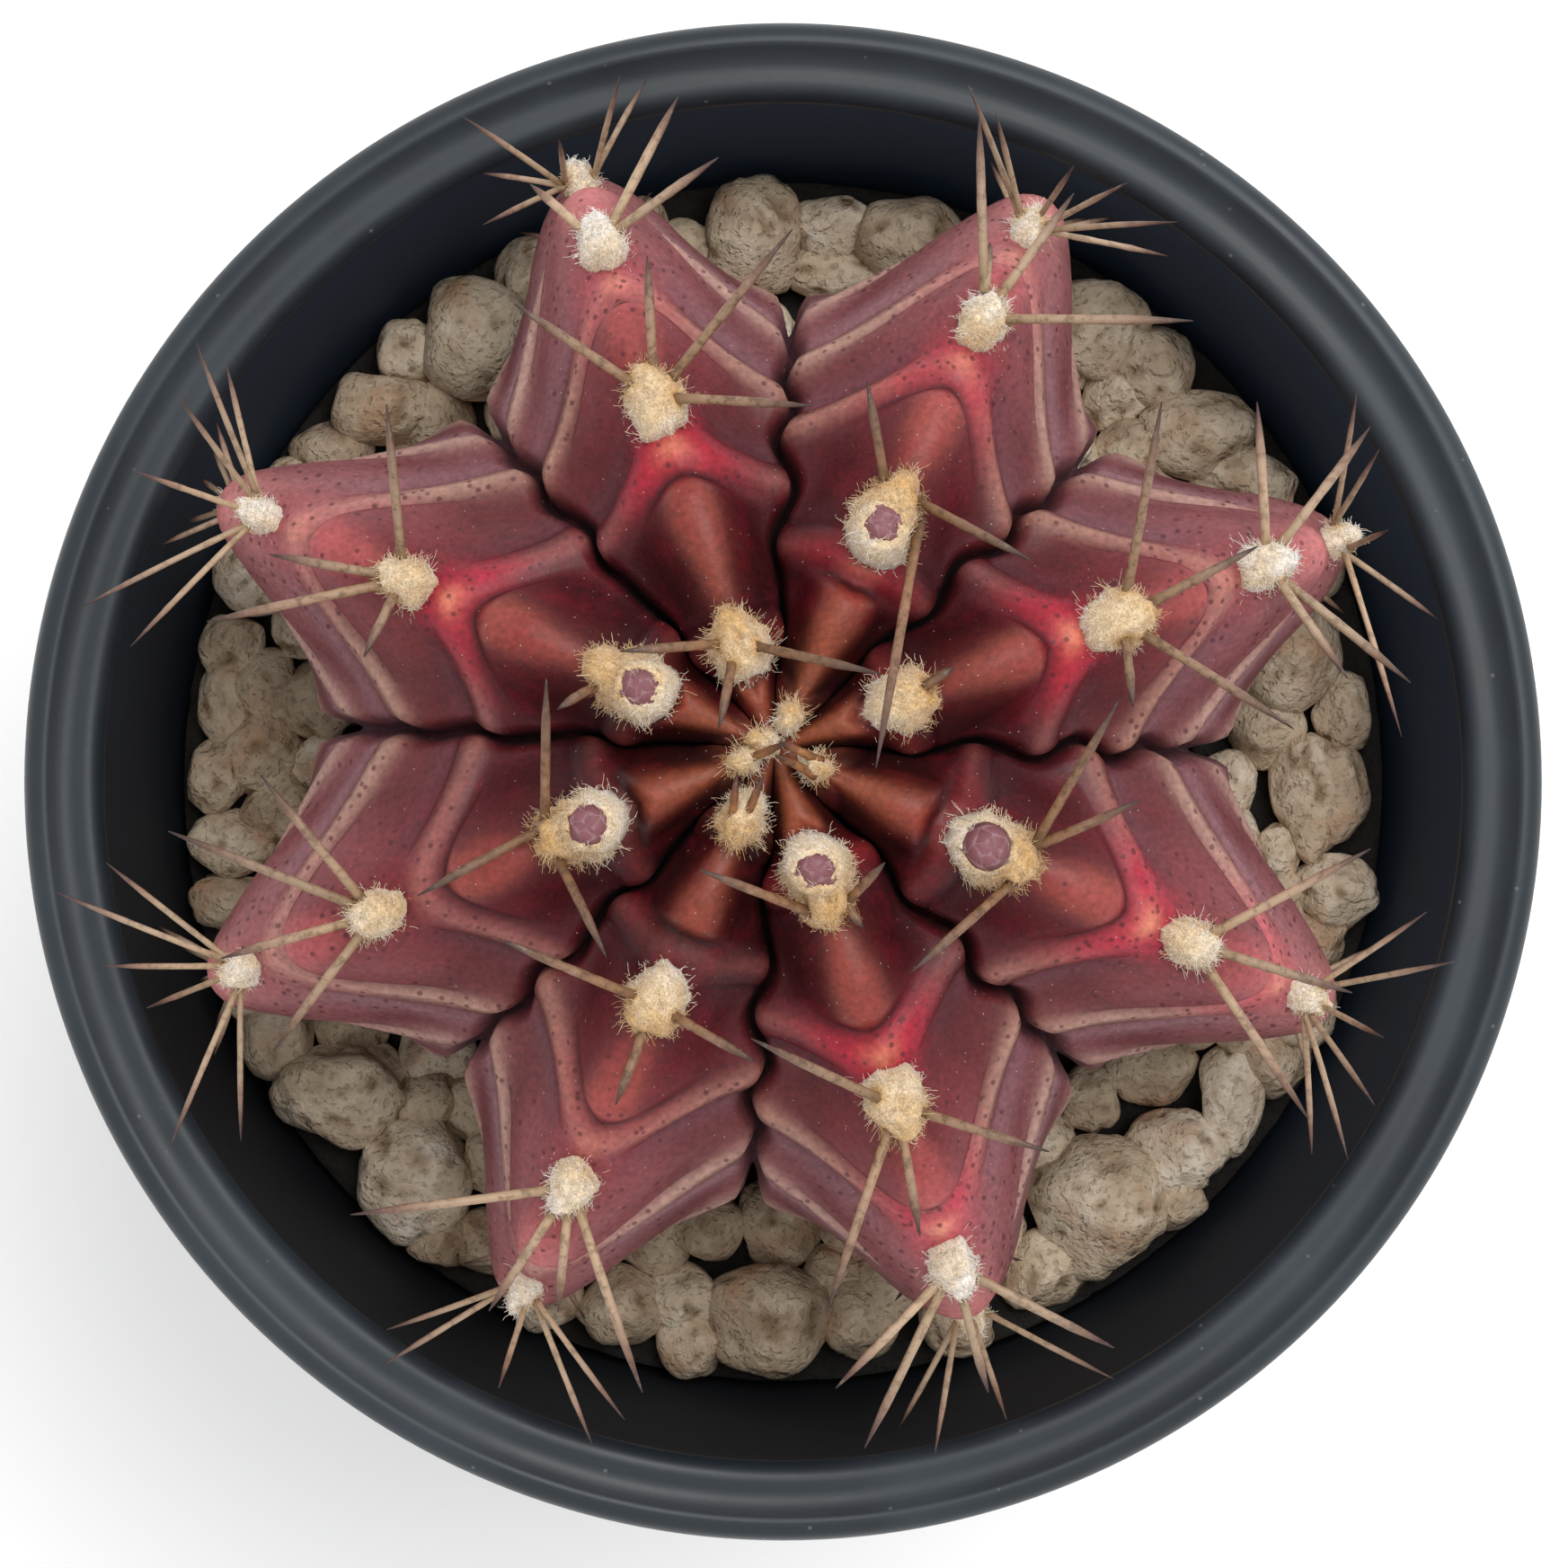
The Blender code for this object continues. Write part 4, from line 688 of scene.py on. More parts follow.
def woolDome(seat, size, look, draws, budSpot, opening):
    # the rings of a lumpy felted dome on the skin
    normal, down, across = (np.array(seat[key]) for key in ("normal", "down", "across"))
    middle = np.array(seat["point"])
    rings, sides = look["grid" if budSpot is None else "budGrid"]
    budSide = None if budSpot is None else ((budSpot - middle) @ down, (budSpot - middle) @ across)
    turn = fullTurn(sides)
    edge = padOutline(size, turn, budSide, look, draws)
    grid = np.zeros((rings, sides, 3))
    for ring, out in enumerate(np.linspace(0.0, 1.0, rings)):
        for side, angle in enumerate(turn):
            offset = (down * math.cos(angle) + across * math.sin(angle)) * edge[side] * out
            skin = np.array(skinBelow(seat["point"] + Vector(offset), seat["normal"]))
            lump = look["lumps"] * noise.noise(Vector(skin) / look["lumpSize"]) * (1.0 - out ** 4)
            lump += look["fine"] * noise.noise(Vector(skin) / look["fineSize"])
            rise = (size[2] + 0.3) * (1.0 - out ** 2.4) ** 0.6 - 0.25 * out ** 6 + lump
            if budSpot is not None:
                # the wool climbs over the bud's shoulder and leaves its top bare
                gap = budSpot - skin
                level = gap @ normal
                aside = np.linalg.norm(gap - normal * level)
                shell = level + 1.14 * math.sqrt(max(1.0 - (aside / look["shell"]) ** 2, 0.0)) + 1.1 * lump
                rise = max(rise, shell * float(smoothStep(look["shell"] + 0.1, look["shell"] - 0.25, aside)))
                ragged = opening * (1.0 + 0.1 * math.sin(3.0 * angle + seat["arc"]) + 0.3 * lump)
                bare = float(smoothStep(ragged + 0.1, ragged - 0.12, aside))
                rise += bare * (level + 0.2 - rise)
            grid[ring, side] = skin + normal * rise
    return grid


def woolHairs(seat, grid, hairs, look, draws, budSpot, opening):
    # short curled hairs start anywhere on the dome, thickest at its edge, and stand off it in locks
    normal, down, across = (np.array(seat[key]) for key in ("normal", "down", "across"))
    middle = np.array(seat["point"])
    rings, sides = grid.shape[:2]
    slope = unit(np.cross(np.gradient(grid, axis=0), np.roll(grid, -1, axis=1) - np.roll(grid, 1, axis=1)))
    out = np.sqrt(draws.uniform(0.02, 1.0, hairs))
    out = np.where(draws.uniform(0.0, 1.0, hairs) < look["edgeShare"], draws.uniform(0.8, 1.0, hairs), out)
    angle = draws.uniform(0.0, math.tau, hairs)
    spot = (np.clip((out * (rings - 1)).round().astype(int), 1, rings - 1),
            (angle / math.tau * sides).astype(int) % sides)
    start, off = grid[spot] + draws.normal(0.0, 0.07, (hairs, 3)), slope[spot]
    off = off * np.sign(off @ normal + 0.2 * (off * unit(start - middle)).sum(axis=1))[:, None]
    away = down * np.cos(angle)[:, None] + across * np.sin(angle)[:, None]
    heading = unit(off * 0.9 + away * 0.7 * out[:, None] ** 3)
    if budSpot is not None:
        inward = budSpot - start
        inward -= (inward @ normal)[:, None] * normal
        gap = np.linalg.norm(inward, axis=1, keepdims=True)
        lean = hill(gap - opening, 0.35)
        heading = unit(heading + lean * (unit(inward) * 0.5 + normal * 0.4))
        keep = gap[:, 0] > opening - 0.02
        start, heading, out, angle = start[keep], heading[keep], out[keep], angle[keep]
        hairs = len(start)
    locks = start[draws.integers(0, hairs, look["locks"])]
    mine = np.argmin(np.linalg.norm(start[:, None] - locks[None], axis=2), axis=1)
    lockTurn = 0.33 * draws.normal(0.0, 1.0, (look["locks"], 3))
    heading = unit(heading + lockTurn[mine] + draws.normal(0.0, 0.28, (hairs, 3)))
    share = np.linspace(0.0, 1.0, look["steps"])[None, :, None]
    reachOut = draws.uniform(*look["length"], (hairs, 1, 1)) * (0.7 + 0.5 * out[:, None, None] ** 3)
    bend = draws.normal(0.0, look["curl"], (hairs, 1, 3))
    pull = (locks[mine] - start)[:, None, :] * look["lockPull"]
    lines = (start - heading * 0.1)[:, None, :] + heading[:, None, :] * reachOut * share
    lines = lines + (bend * reachOut + pull) * share ** 2
    phase = draws.uniform(0.0, 6.0, (hairs, 1, 1))
    for wave in (np.sin(share * 7.0 + phase), np.cos(share * 7.0 + phase)):
        lines = lines + unit(draws.normal(0.0, 1.0, (hairs, 1, 3))) * look["coil"] * wave * share
    radii = look["radius"] * (1.0 - 0.5 * share[..., 0]) * draws.uniform(0.75, 1.25, (hairs, 1))
    points, faces = strands(lines, radii, 3)
    return points, faces, out, angle


def woolTuft(seat, size, hairs, look, draws, feet=(), budSpot=None, opening=0.0):
    # a dome with its hairs, and the tone that their colour follows
    grid = woolDome(seat, size, look, draws, budSpot, opening)
    points, faces, out, angle = woolHairs(seat, grid, hairs, look, draws, budSpot, opening)
    rings, sides = grid.shape[:2]
    bottom = np.array(skinBelow(seat["point"], seat["normal"])) - np.array(seat["normal"]) * 0.5
    dome = np.concatenate((grid[1:].reshape(-1, 3), [grid[0].mean(axis=0), bottom]))
    # young pads are golden on their spine side; old ones are white with a golden crownward edge
    young = 0.4 - 0.4 * float(smoothStep(15.0, 30.0, seat["arc"]))
    lean = 0.24 - 0.4 * float(smoothStep(16.0, 22.0, seat["arc"]))
    domeOut = np.outer(np.linspace(0.0, 1.0, rings)[1:], np.cos(fullTurn(sides))).ravel()
    domeTone = young + lean * np.concatenate((domeOut, [0.0, 0.0])) + 0.1
    hairTone = young + lean * out * np.cos(angle) + draws.normal(0.0, 0.12, len(out))
    felt = np.concatenate((np.ones(len(dome)), np.zeros(len(points))))
    cloud, groups = joined([(dome, closedFaces(rings - 1, sides)), (points, faces)])
    tone = np.concatenate((domeTone, np.repeat(hairTone, look["steps"] * 3)))
    for foot in feet:
        # each spine stains the wool round its foot
        tone = tone + (0.42 + young * 0.5) * hill(np.linalg.norm(cloud - foot, axis=1), 0.44)
    return cloud, groups, {"tone": np.clip(tone, 0.0, 1.0), "felt": felt}


def gathered(name, parts, material, slot, *stoodFor):
    # one piece of several (points, faces, marks)
    if not parts:
        return
    points, faces = joined([(part[0], part[1]) for part in parts])
    marks = {mark: np.concatenate([part[2][mark] for part in parts]) for mark in parts[0][2]}
    piece = addPiece(name, points, faces, material, slot, **marks)
    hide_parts(*stoodFor)


# Wool: matted plant hair. The eye sees a dull cream felt with a loose fringe, browner round each spine's foot.
def woolMaterial(look):
    material, add, shader, place = startMaterial(
        "areoleWool", Roughness=0.9, Specular_IOR_Level=0.25, Sheen_Weight=0.3, Sheen_Roughness=0.5)
    tone = add("ShaderNodeAttribute", attribute_name="tone").outputs["Fac"]
    felt = add("ShaderNodeAttribute", attribute_name="felt").outputs["Fac"]
    # real felt fibres are 0.03 mm wide; the tangle is drawn at 0.16 mm so that it shows
    tangle = add("ShaderNodeTexNoise",
                 {"Vector": place, "Scale": scaleOf(0.16), "Detail": 3.0, "Distortion": 1.2}).outputs["Fac"]
    patches = add("ShaderNodeTexNoise", {"Vector": place, "Scale": scaleOf(1.1)}).outputs["Fac"]
    shifted = add("ShaderNodeMath", {0: patches, 1: 0.5, 2: tone}, operation="MULTIPLY_ADD").outputs[0]
    level = add("ShaderNodeMath", {0: shifted, 1: 0.25}, operation="SUBTRACT", use_clamp=True).outputs[0]
    colour = add("ShaderNodeValToRGB", {"Fac": level}, stops=look["cream"]).outputs["Color"]
    # the felt is painted darker where the tangle sinks and a little lighter where it rises: painted shade and
    # highlight among the fibres
    depth = add("ShaderNodeMapRange", {0: tangle, 1: 0.35, 2: 0.65, 3: 0.62, 4: 1.1}).outputs[0]
    share = add("ShaderNodeMix", {0: felt, 2: 1.0, 3: depth}).outputs[0]
    colour = add("ShaderNodeMix", {0: 1.0, 6: colour, 7: share}, data_type="RGBA",
                 blend_type="MULTIPLY").outputs[2]
    bump = add("ShaderNodeBump", {"Strength": 0.7, "Distance": 0.0001, "Height": tangle})
    follow(shader, Base_Color=colour, Normal=bump.outputs[0])
    return material


# Spines: hard horn-like needles. The eye sees a straw-coloured shaft with brown mottles, a stained root
# and a dark tip.
def spineMaterial(look):
    material, add, shader, place = startMaterial("spineHorn", IOR=1.5, Roughness=0.55)
    along, tone, old, fresh = (add("ShaderNodeAttribute", attribute_name=name).outputs["Fac"]
                               for name in ("along", "tone", "old", "fresh"))
    shades = [add("ShaderNodeValToRGB", {"Fac": along}, stops=look[age]).outputs["Color"]
              for age in ("young", "old", "new")]
    blots = add("ShaderNodeTexNoise",
                {"Vector": place, "Scale": scaleOf(0.5), "Detail": 4.0, "Roughness": 0.65}).outputs["Fac"]
    blot = add("ShaderNodeMapRange", {0: blots, 1: 0.5, 2: 0.62, 3: 0.0, 4: 0.75}).outputs[0]
    less = add("ShaderNodeMapRange", {0: old, 3: 1.0, 4: 0.55}).outputs[0]
    amount = add("ShaderNodeMath", {0: blot, 1: less}, operation="MULTIPLY").outputs[0]
    chalk = add("ShaderNodeMapRange", {0: blots, 1: 0.44, 2: 0.3, 3: 0.0, 4: 0.18}).outputs[0]
    colour = shades[0]
    for share, tint in ((old, shades[1]), (fresh, shades[2]), (amount, toLinear(look["blot"])),
                        (chalk, toLinear(look["chalk"]))):
        colour = add("ShaderNodeMix", {0: share, 6: colour, 7: tint}, data_type="RGBA").outputs[2]
    shade = add("ShaderNodeMapRange", {0: tone, 3: 0.8, 4: 1.12}).outputs[0]
    colour = add("ShaderNodeMix", {0: 1.0, 6: colour, 7: shade}, data_type="RGBA",
                 blend_type="MULTIPLY").outputs[2]
    grain = add("ShaderNodeTexNoise", {"Vector": place, "Scale": scaleOf(0.12), "Detail": 2.0}).outputs["Fac"]
    bump = add("ShaderNodeBump", {"Strength": 0.4, "Distance": 0.00003, "Height": grain})
    follow(shader, Base_Color=colour, Normal=bump.outputs[0])
    return material


def budForm(node, seat, look):
    # an egg of overlapping scales set in a spiral, each scale's tip standing a little off the next one's back
    normal, down, across = (np.array(seat[key]) for key in ("normal", "down", "across"))
    foot = middleOf(node) - normal * look["height"] / 2.0
    share = np.linspace(0.03, 0.985, look["rings"])[:, None]
    turn = fullTurn(look["sides"])[None, :]
    radius = np.sin(np.pi * share ** look["lower"]) ** look["fuller"] * look["radius"] * np.ones_like(turn)
    height = (1.0 - np.cos(np.pi * share)) / 2.0 * look["height"] * np.ones_like(turn)
    lift = np.zeros(radius.shape)
    rim = np.zeros(radius.shape)
    tone = np.full(radius.shape, 0.5)
    free = np.ones(radius.shape, bool)
    draws = np.random.default_rng(look["seed"] + int(seat["arc"] * 10))
    for number in range(look["scales"]):
        begin = -0.2 + 0.032 * number
        place = (share - begin) / 0.46
        aside = np.abs(np.mod(turn - number * math.radians(look["spiral"]) + math.pi, math.tau) - math.pi)
        half = np.clip(np.sin(np.pi * np.clip(place, 0.0, 1.0) ** 0.8), 0.0, 1.0) ** 0.55
        half = half * (0.62 + 0.35 * number / look["scales"])
        inside = (place > 0.0) & (place < 1.0) & (aside < half)
        mine = inside & free
        border = np.clip(1.0 - aside / np.maximum(half, 1e-6), 0.0, 1.0)
        lift = np.where(mine, 0.02 + 0.13 * place - 0.05 * (1.0 - border) ** 2, lift)
        rim = np.where(mine, smoothStep(0.22, 0.0, border) + smoothStep(0.86, 1.0, place), rim)
        tone = np.where(mine, draws.uniform(0.2, 0.8), tone)
        free &= ~inside
    spoke = down * np.cos(turn)[..., None] + across * np.sin(turn)[..., None]
    grid = foot + spoke * (radius + lift)[..., None] + normal * (height + 0.3 * lift)[..., None]
    grid, rim, tone = grid[::-1, ::-1], rim[::-1, ::-1], tone[::-1, ::-1]
    rows, columns = rim.shape
    points = np.concatenate((grid.reshape(-1, 3), [foot + normal * (look["height"] + 0.02), foot]))
    marks = {"rim": np.concatenate((np.clip(rim, 0, 1).ravel(), [0.2, 0.0])),
             "tone": np.concatenate((tone.ravel(), [0.5, 0.5])),
             "height": np.concatenate((np.repeat(np.linspace(1.0, 0.0, rows), columns), [1.0, 0.0]))}
    return points, closedFaces(rows, columns), marks


# Bud scales: thin living bracts. The eye sees dusky pink-purple with paler edges, dull and slightly waxy.
budLook = {"scale": ((0.0, "#3e2222"), (0.35, "#5b3438"), (0.7, "#724549"), (1.0, "#805258")),
           "rim": "#a2868c", "vein": 0.12}


def budMaterial(look):
    material, add, shader, place = startMaterial("budScales", IOR=1.42, Specular_IOR_Level=0.35, Roughness=0.5)
    rim, tone, height = (add("ShaderNodeAttribute", attribute_name=name).outputs["Fac"]
                         for name in ("rim", "tone", "height"))
    vein = add("ShaderNodeTexNoise", {"Vector": place, "Scale": scaleOf(look["vein"]), "Detail": 2.0})
    mixed = add("ShaderNodeMath", {0: tone, 1: 0.35, 2: height}, operation="MULTIPLY_ADD").outputs[0]
    speck = add("ShaderNodeMath", {0: vein.outputs["Fac"], 1: 0.4, 2: mixed},
                operation="MULTIPLY_ADD").outputs[0]
    level = add("ShaderNodeMath", {0: speck, 1: 0.42}, operation="SUBTRACT", use_clamp=True).outputs[0]
    colour = add("ShaderNodeValToRGB", {"Fac": level}, stops=look["scale"]).outputs["Color"]
    share = add("ShaderNodeMath", {0: rim, 1: 0.45}, operation="MULTIPLY", use_clamp=True).outputs[0]
    colour = add("ShaderNodeMix", {0: share, 6: colour, 7: toLinear(look["rim"])}, data_type="RGBA").outputs[2]
    bump = add("ShaderNodeBump", {"Strength": 0.3, "Distance": 0.00004, "Height": vein.outputs["Fac"]})
    follow(shader, Base_Color=colour, Normal=bump.outputs[0])
    return material


def padSize(name, arc):
    return budPad if name in openings else next(size for oldest, size in padSizes if arc < oldest)


def buildAreoles():
    wool, horn, scales = woolMaterial(woolLook), spineMaterial(spineLook), budMaterial(budLook)
    draws = np.random.default_rng(woolLook["seed"])
    crownWool, crownSpines = [], spineTubes(spineAxes(nodes["crown_wool"]), 2.0, spineLook, draws)
    for index, (letter, *_, areoles) in enumerate(ribs):
        tufts, needles, stoodFor = [], [], []
        for number, arc in enumerate(areoles, start=1):
            name = f"{letter}{number}"
            seat = seatAt(index, arc)
            if arc < 3.0:
                crownWool.append(woolTuft(seat, woolLook["crownPad"], woolLook["crownHairs"], woolLook, draws))
                continue
            if f"areole_{name}" not in nodes:
                continue
            stoodFor.append(f"areole_{name}")
            axes = spineAxes(nodes[f"areole_{name}"])
            if name in newSpines:
                axes = [tuple(np.array(spot) for spot in spine) for spine in newSpines[name]]
            feet = [axis[0] for axis in axes]
            budSpot = None
            if name in openings:
                budSpot = middleOf(f"flower_bud_{letter}")
                form = budForm(f"flower_bud_{letter}", seat, budShape)
                gathered(f"flowerBud{letter.upper()}", [form], scales, "bud_scales", f"flower_bud_{letter}")
            hairs = woolLook["hairs" if arc < 29.0 else "outerHairs" if arc < 38.0 else "hiddenHairs"]
            hairs = int(hairs * (1.0 if budSpot is None else woolLook["budHairs"]))
            tufts.append(woolTuft(seat, padSize(name, arc), hairs, woolLook, draws, feet, budSpot,
                                  openings.get(name, 0.0)))
            if axes:
                needles.append(spineTubes(axes, arc, spineLook, draws))
        gathered(f"woolRib{letter.upper()}", tufts, wool, "areole_wool", *stoodFor)
        gathered(f"spinesRib{letter.upper()}", needles, horn, "areole_wool", *stoodFor)
    gathered("crownTuft", crownWool, wool, "areole_wool", "crown_wool")
    gathered("crownSpines", [crownSpines], horn, "areole_wool", "crown_wool")


buildAreoles()
print("areoles, spines and buds built")

# pot, mix and stones

potLook = {
    "rimRadius": 38.0, "height": 68.0, "band": 3.4, "lipDrop": 7.5, "wall": 1.2, "wallTaper": 0.17,
    "foot": 2.2, "footWidth": 2.4, "floor": 1.4, "drains": 6, "drainRing": 14.0, "drainRadius": 2.6,
    "sides": 240,
    # the rolled lip from inside out: how far past the inner edge, and how high
    "lipRoll": ((-0.5, 66.3), (-0.6, 66.7), (-0.5, 67.0), (-0.3, 67.25), (-0.05, 67.46), (0.2, 67.54),
                (0.5, 67.54), (0.85, 67.49), (1.2, 67.47), (1.55, 67.56), (1.85, 67.72), (2.15, 67.9)),
}
stoneLook = {
    "level": 53.4, "bedTop": 51.8, "bedLow": 50.0, "bedHole": 21.4, "seed": 11, "extra": 92, "tries": 9000,
    "sizes": (3.4, 4.8), "ring": (22.6, 30.6), "crowding": 0.34, "flatness": 0.9, "growth": 1.08,
    "least": 1.6, "sunk": 0.42, "facets": 11, "lumps": 0.07, "pits": 0.09, "formSeed": 7, "upper": 36,
    "bedRings": 26, "bedSides": 240,
}
# where the pot's rim and each stone that shows lie in a frame 1745 wide; a stone has its centre and its size
rimSeen = {"column": 871.5, "line": 870.0, "radius": 847.0}
stonesSeen = (
    (840, 240, 100, 130), (930, 225, 90, 70), (1015, 245, 110, 100), (930, 300, 100, 60),
    (520, 365, 130, 120), (410, 445, 110, 80), (1235, 345, 110, 100), (1370, 450, 130, 90),
    (1390, 530, 110, 70), (215, 780, 60, 90), (235, 860, 70, 80), (290, 760, 70, 80),
    (260, 935, 90, 70), (255, 1005, 90, 60), (340, 1240, 130, 120), (465, 1315, 120, 130),
    (540, 1385, 80, 70), (690, 1455, 90, 80), (765, 1445, 90, 70), (858, 1470, 135, 110),
    (960, 1470, 80, 90), (1240, 1370, 150, 140), (1310, 1280, 110, 80), (1370, 1220, 70, 110),
    (1180, 1320, 70, 70), (1495, 995, 90, 80), (1455, 880, 80, 140), (1520, 890, 70, 110),
    (1420, 950, 60, 60), (1450, 720, 130, 170), (1520, 790, 60, 80),
)


def innerWall(height):
    return potLook["rimRadius"] - potLook["band"] - (potLook["height"] - height) * potLook["wallTaper"]


def turnedGrid(profile, sides):
    # the radius and height of each row, turned round the pot's axis
    turn, rows = fullTurn(sides), np.array(profile)
    out, height = rows[:, :1], np.repeat(rows[:, 1:], sides, axis=1)
    return np.stack((out * np.cos(turn), out * np.sin(turn), height), axis=-1)


def arcPoints(centre, radius, begin, end, steps):
    angles = np.radians(np.linspace(begin, end, steps))
    return [(centre[0] + radius * math.cos(angle), centre[1] + radius * math.sin(angle)) for angle in angles]


def potProfile(look):
    # the outline from the middle of the floor, over the lip, to the middle of the foot,
    # and how many of its rows lie inside, below the lip
    top, lip = look["height"], look["height"] - look["lipDrop"]
    floor = look["foot"] + look["floor"]
    rim, inner = look["rimRadius"], look["rimRadius"] - look["band"]
    foot = innerWall(0.0) + look["wall"]
    corner = innerWall(floor) - 0.8
    profile = [(0.0, floor), (6.0, floor), (corner, floor), *arcPoints((corner, floor + 0.8), 0.8, -80, 0, 5)]
    profile += [(innerWall(height), height) for height in (8.0, 20.0, 28.0, 36.0, 44.0, 54.0, 60.0, 64.0, 65.6)]
    inside = len(profile) - 1
    # a groove, then a rolled lip: a bead inside, a shallow valley and the outer crown
    profile += [(inner + out, height) for out, height in look["lipRoll"]]
    profile += arcPoints((rim - 1.0, top - 1.0), 1.0, 96, 0, 11)
    profile += [(rim - 0.2, top - 4.0), (rim - 0.5, lip + 0.3),
                *arcPoints((rim - 0.9, lip + 0.4), 0.4, 0, -90, 4), (rim - 1.7, lip),
                (innerWall(lip) + look["wall"], lip + 1.2)]
    profile += [(innerWall(height) + look["wall"], height) for height in (50.0, 38.0, 26.0, 14.0, 4.0, 1.0)]
    ring = foot - look["footWidth"]
    profile += [*arcPoints((foot - 0.45, 0.5), 0.5, 0, -90, 5), (foot - 2.2, 0.0),
                *arcPoints((foot - 2.3, 0.4), 0.4, 270, 180, 4), (ring - 0.5, look["foot"] - 0.2)]
    profile += [(out, look["foot"]) for out in (ring - 0.8, 20.0, 8.0, 0.0)]
    return profile, inside


def drillDrains(pot, look):
    radius = look["drainRadius"] * 0.001
    for number in range(look["drains"]):
        angle = math.radians(30 + 360 / look["drains"] * number)
        drill = bpy.data.meshes.new("drill")
        shape = bmesh.new()
        bmesh.ops.create_cone(shape, cap_ends=True, segments=32, radius1=radius, radius2=radius, depth=0.012)
        shape.to_mesh(drill)
        shape.free()
        tool = addObject("drill", drill)
        tool.location = (look["drainRing"] * math.cos(angle) * 0.001,
                         look["drainRing"] * math.sin(angle) * 0.001, 0.0022)
        hole = pot.modifiers.new("drain", "BOOLEAN")
        hole.operation = "DIFFERENCE"
        hole.object = tool
        hole.solver = "EXACT"
        bpy.context.view_layer.update()
        pot.data = bpy.data.meshes.new_from_object(pot.evaluated_get(bpy.context.evaluated_depsgraph_get()))
        pot.modifiers.clear()
        bpy.data.objects.remove(tool, do_unlink=True)


def buildPot(look, material):
    profile, inside = potProfile(look)
    # the first and last points lie on the axis and close the rest
    grid = turnedGrid(profile[1:-1], look["sides"])
    points = np.concatenate((grid.reshape(-1, 3), [(0.0, 0.0, profile[0][1]), (0.0, 0.0, profile[-1][1])]))
    row = np.arange(len(points)) // look["sides"]
    # the mark wall covers the upper inner wall, which the pot's finish paints with light and shade
    pot = addPiece("nurseryPot", points, closedFaces(len(grid), look["sides"]), material, "black_plastic",
                   wall=(row < inside) * smoothStep(28.0, 44.0, points[:, 2]))
    drillDrains(pot, look)
    pot.data.shade_smooth()
    pot.data.set_sharp_from_angle(angle=math.radians(50))
    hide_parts("pot")


def frameScale(height):
    # millimetres to a step of that frame, at this height
    away = cameraLook["height"] - potLook["height"]
    return potLook["rimRadius"] / rimSeen["radius"] * (away + potLook["height"] - height) / away


def framePoint(column, line, height):
    scale = frameScale(height)
    return Vector(((column - rimSeen["column"]) * scale, (rimSeen["line"] - line) * scale, height))


def stonePlaces(look):
    draws = random.Random(look["seed"])
    scale = frameScale(look["level"])
    places = []
    for column, line, wide, deep in stonesSeen:
        centre = framePoint(column, line, look["level"] + draws.uniform(-0.3, 0.6))
        thick = min(wide, deep) * look["flatness"]
        places.append((centre, Vector((wide, deep, thick)) * scale * look["growth"]))
    for _ in range(look["tries"]):
        if len(places) == len(stonesSeen) + look["extra"]:
            break
        size = draws.uniform(*look["sizes"])
        angle = draws.uniform(0.0, math.tau)
        out = draws.uniform(*look["ring"])
        level = look["level"] - draws.uniform(0.2, 0.9)
        centre = Vector((out * math.cos(angle), out * math.sin(angle), level))
        if all((centre - other).xy.length > look["crowding"] * (size + max(large.xy))
               for other, large in places):
            places.append((centre, Vector((size, size, size * look["flatness"]))))
    return places


def stoneForm(centre, size, look, draws):
    # a crushed lump with worn facets: broad dents give the form, small pits the broken bubbles
    shape = bmesh.new()
    bmesh.ops.create_icosphere(shape, subdivisions=4, radius=0.5)
    cloud = np.array([vertex.co for vertex in shape.verts])
    faces = np.array([[vertex.index for vertex in face.verts] for face in shape.faces])
    shape.free()
    shift = Vector(draws.uniform(-90.0, 90.0, 3))
    spin = Matrix.Rotation(draws.uniform(0.0, math.tau), 3, "Z")
    turn = spin @ Matrix.Rotation(draws.uniform(-0.3, 0.3), 3, "X")
    planes = unit(draws.normal(0.0, 1.0, (look["facets"], 3)))
    far = draws.uniform(0.36, 0.47, look["facets"])
    facing = np.maximum(cloud / 0.5 @ planes.T, 0.05)
    reach = (0.5 ** -14.0 + ((far / facing) ** -14.0).sum(axis=1)) ** (-1.0 / 14.0) * 1.1
    points, pits = [], []
    for corner, out in zip(cloud / 0.5, reach):
        spot = turn @ Vector(corner * out)
        broad = noise.noise(spot * 2.6 + shift)
        bumps = noise.noise(spot * 7.0 + shift)
        hole = max(0.0, noise.noise(spot * Vector(size).length * 0.62 + shift * 2) - 0.25)
        stretch = 1.0 + look["lumps"] * 1.6 * broad + 0.04 * bumps - look["pits"] * 3.0 * hole
        points.append(Vector([spot[axis] * size[axis] * stretch for axis in range(3)]) + centre)
        pits.append(min(1.0, hole * 3.0))
    points = np.array(points)
    # the lower sides, near the bed, are marked to be painted near black: painted shade under the stones
    low = smoothStep(look["bedTop"] + 0.7, look["bedTop"] - 0.4, points[:, 2])
    return points, [faces], {"pit": np.array(pits), "low": low,
                             "tint": np.full(len(points), draws.uniform(0.0, 1.0))}


